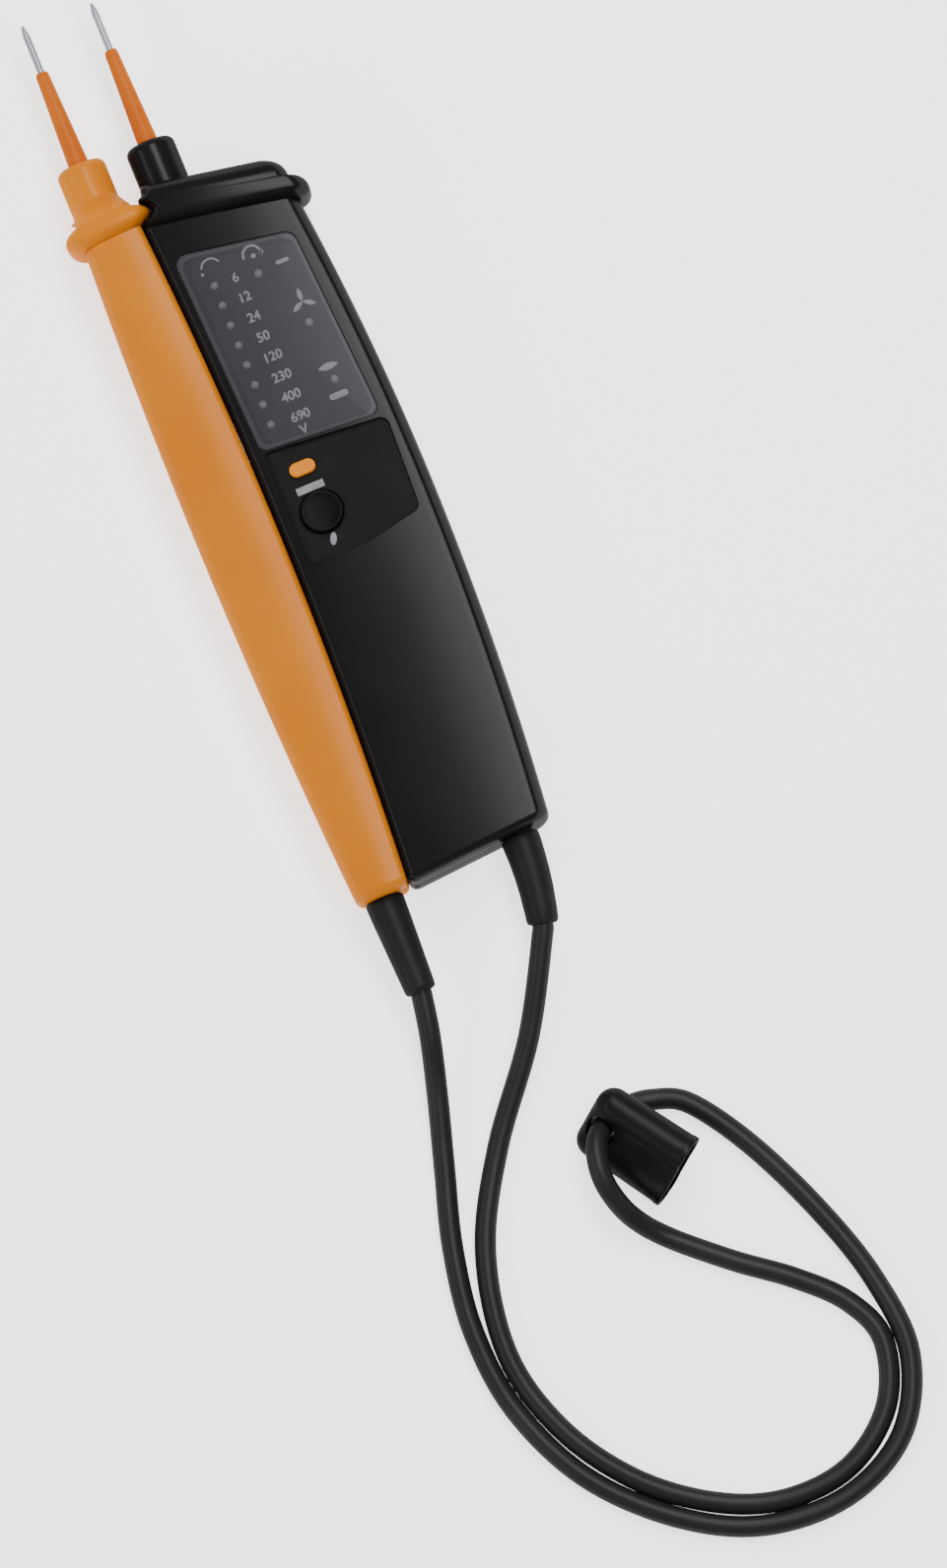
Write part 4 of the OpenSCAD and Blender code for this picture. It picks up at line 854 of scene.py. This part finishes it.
# Rubber, greyer than the black housing: its dull gloss shows the round of the boots as one wide soft band.
boot_rubber = finish("boot_rubber", "#1A1A1B", "#202021", rough=(0.42, 0.54), ior=1.03, patch=12, grain=0.35,
                     depth=0.014, coat=0.045)

straight = turned("handle_boot_skin", STRAIGHT_BOOT, (HANDLE_BOOT_X, -LENGTH, AXIS_Z), (0, 1, 0), boot_rubber,
                  BOOT_SIDES)
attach(straight, "handle")
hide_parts("handle_boot")

root = np.array((BLACK_BOOT_X, -LENGTH + TAIL_SLOPE * BLACK_BOOT_X - BLACK_BOOT_IN, AXIS_Z))
reach = np.array(BLACK_BOOT_END) - root
rings = []
for s, r in BENT_BOOT:
    bent = max(s, 0)
    middle = root + reach * np.array((bent ** 2, s, bent ** 2))
    way = reach * np.array((2 * bent, 1, 2 * bent))
    rings.append(circle(middle, way, r, BOOT_SIDES))
crooked = piece("indicator_boot_skin", *loft(rings), boot_rubber)
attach(crooked, "indicator")
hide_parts("indicator_boot")


# Tip cap
# One rubber moulding for both tips: two barrels joined by a flat web, a rounded head, and a thicker lip
# round the open end. It is threaded on the cable through a cross hole with flared mouths, the cable eye, and
# lies rolled by 42 degrees on its side.
EYE_POINT = 19
CAP_AT = Vector(ROUTE[EYE_POINT])
CAP_HEADING, CAP_ROLL = math.radians(214), math.radians(42)
CAP_TURN = Matrix.Rotation(CAP_HEADING, 3, "Z") @ Matrix.Rotation(CAP_ROLL, 3, "Y")
BARREL_X, BARREL_STEPS = 6.25, 24
MOUTH, HEAD_Y, TAPER_FROM = 23.1, -0.25, 3
BARREL_R, HEAD_R, WEB = 5.3, 4.95, 4.6
HEAD_LEAST_R, HEAD_LEAST_WEB = 0.03, 0.02
TAPER_STEPS, HEAD_STEPS, CAP_SHARP = 8, 10, 40
# The lip is (barrel radius, half the web, distance from the mouth), and the eye (radius, distance out).
CAP_LIP = (
    (4.4, 3.5, 16.5), (4.4, 3.5, 0.15), (4.55, 3.65, 0), (5.25, 4.4, 0), (5.48, 4.6, 0.25), (5.5, 4.65, 0.6),
    (5.5, 4.65, 1.5), (5.36, 4.62, 1.9), (BARREL_R, WEB, TAPER_FROM))
HALF_EYE = ((3.6, 1.5), (3.85, 2.8), (4.4, 4.2), (4.9, 5.6), (5.6, 7.5))


def cap_ring(r, web, y):
    """Outline of the two barrels and the web between them, at y along the cap."""
    meet = math.asin(min(web / r, 1))
    gap = BARREL_X - r * math.cos(meet)
    out = []
    for side, start in ((1, meet - math.pi), (-1, meet)):
        sweep = 2 * (math.pi - meet)
        turns = [start + sweep * k / BARREL_STEPS for k in range(BARREL_STEPS + 1)]
        out += [(side * BARREL_X + r * math.cos(t), y, r * math.sin(t)) for t in turns]
        out += [(side * gap / 3, y, side * web), (-side * gap / 3, y, side * web)]
    return out


# Rubber, nearly black and soft in its gloss: the cap looks darker than the cable beside it.
cap_rubber = finish("cap_rubber", "#0E0E0F", "#131314", rough=(0.36, 0.46), ior=1.03, patch=10, grain=0.3,
                    depth=0.012, coat=0.05)

to_head = HEAD_Y - MOUTH + TAPER_FROM
rings = [cap_ring(r, web, MOUTH - back) for r, web, back in CAP_LIP]
rings += [cap_ring(BARREL_R + (HEAD_R - BARREL_R) * s, WEB, MOUTH - TAPER_FROM + to_head * s)
          for s in np.arange(1, TAPER_STEPS + 1) / TAPER_STEPS]
rings += [cap_ring(HEAD_R * math.cos(a) + HEAD_LEAST_R, WEB * math.cos(a) + HEAD_LEAST_WEB,
                   HEAD_Y - HEAD_R * math.sin(a)) for a in np.linspace(0, math.pi / 2, HEAD_STEPS)[1:]]
points, faces = loft(rings)
cap = piece("tip_cap_skin", [tuple(CAP_TURN @ Vector(p) + CAP_AT) for p in points], faces, cap_rubber,
            CAP_SHARP)
eye = [(r, -h) for r, h in HALF_EYE[::-1]] + list(HALF_EYE)
carve(cap, turned("cable_eye", eye, CAP_AT, CAP_TURN @ Vector((0, 0, 1)), cap_rubber, steps=40))
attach(cap, "tip_cap")
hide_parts("tip_cap")


# Carried-over pieces
# The film, lamps, boards and their parts, cells and contacts, door, screws and docking pegs stay as
# part.scad makes them, each soldered, screwed or clipped in its housing. They only take a finish here.

# A dark grey film and pale lamp lenses, which show as faint greys through the smoke window.
legend_film = finish("legend_film", "#36363C", "#3C3C42", rough=(0.5, 0.56), ior=1.1, patch=10, grain=0.3,
                     depth=0.0)
lamp_lens = finish("lamp_lens", "#A8A6B2", "#B8B6C2", rough=(0.25, 0.35), patch=1.5, grain=0.2, depth=0.003)
# Green solder mask, bright plated steel, pale blue resistor lacquer, grey cell cans and yellow brass.
board_laminate = finish("board_green", "#1D5B33", "#256B3E", rough=(0.3, 0.42), ior=1.5, patch=8, grain=0.5,
                        depth=0.01)
plated_steel = finish("plated_steel", "#A9ABAF", "#BCBEC2", rough=(0.28, 0.4), ior=1.5, patch=4, grain=0.12,
                      depth=0.004)
resistor_lacquer = finish("resistor_lacquer", "#6F93AE", "#82A6BF", rough=(0.28, 0.38), ior=1.5, patch=3,
                          grain=0.3, depth=0.004)
cell_can = finish("battery_can", "#7C8086", "#8E9298", rough=(0.3, 0.42), ior=1.5, patch=12, grain=0.3,
                  depth=0.003)
contact_brass = finish("contact_brass", "#C09A45", "#D0AB58", rough=(0.28, 0.4), ior=1.5, patch=3, grain=0.15,
                       depth=0.004)
for m in (plated_steel, contact_brass):
    shader_of(m).inputs["Metallic"].default_value = 1.0
FINISHES = {
    "legend_plate": legend_film, "level_lamps": lamp_lens, "status_lamps": lamp_lens,
    "circuit_board": board_laminate, "key_switches": plated_steel, "input_resistors": resistor_lacquer,
    "sounder": panel_abs, "batteries": cell_can, "battery_contacts": contact_brass, "battery_door": black_abs,
    "door_screw": plated_steel, "indicator_screws": plated_steel, "dock_pegs": plated_steel,
    "resistor_board": board_laminate, "handle_screws": plated_steel}
for name, skin in FINISHES.items():
    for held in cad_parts[name].material_slots:
        held.material = skin


# Floor and light
# A plain floor of white paper, which glows because the photograph's ground is almost white. A wide soft
# lamp hangs overhead to the right, so that the face grows lighter to that side, and a weak one stands on
# the left for the rounded edges.
FLOOR_W, FLOOR_FRONT, FLOOR_BACK, FLOOR_UNDER = 1500, -1700, 1500, 0.2
FLOOR_GLOW = 1.9
SKY = 0.3

# Matt white paper, so even that only the tester's soft shadow shows on it.
paper = finish("floor_paper", "#F4F4F4", "#F7F7F7", rough=(0.8, 0.9), ior=1.2, patch=400, grain=20, depth=0.0)
shader_of(paper).inputs["Emission Color"].default_value = linear("#FFFFFF")
shader_of(paper).inputs["Emission Strength"].default_value = FLOOR_GLOW
floor = piece("floor", [(-FLOOR_W, FLOOR_FRONT, 0), (FLOOR_W, FLOOR_FRONT, 0), (FLOOR_W, FLOOR_BACK, 0),
                        (-FLOOR_W, FLOOR_BACK, 0)], [(0, 1, 2, 3)], paper)
floor.location.z = -FLOOR_UNDER * MM


def lamp(name, place, aim, size, power):
    """Rectangular lamp that faces its aim. Its size is in metres and its power in watts."""
    data = bpy.data.lights.new(name, "AREA")
    data.shape = "RECTANGLE"
    data.size, data.size_y = size
    data.energy = power
    o = bpy.data.objects.new(name, data)
    away = (Vector(at(*place)) - Vector(at(*aim))).normalized()
    flat = Vector((0, 1, 0)).cross(away).normalized()
    facing = Matrix((flat, away.cross(flat), away)).transposed().to_4x4()
    o.matrix_world = Matrix.Translation(at(*place)) @ facing
    bpy.context.scene.collection.objects.link(o)


lamp("overhead", place=(250, 60, 880), aim=(30, -130, 0), size=(0.28, 1.2), power=10.5)
lamp("left_strip", place=(-720, -150, 640), aim=(0, -130, 0), size=(0.22, 1.2), power=3)
world = bpy.data.worlds.new("studio")
world.use_nodes = True
world.node_tree.nodes["Background"].inputs["Color"].default_value = (1, 1, 1, 1)
world.node_tree.nodes["Background"].inputs["Strength"].default_value = SKY
bpy.context.scene.world = world
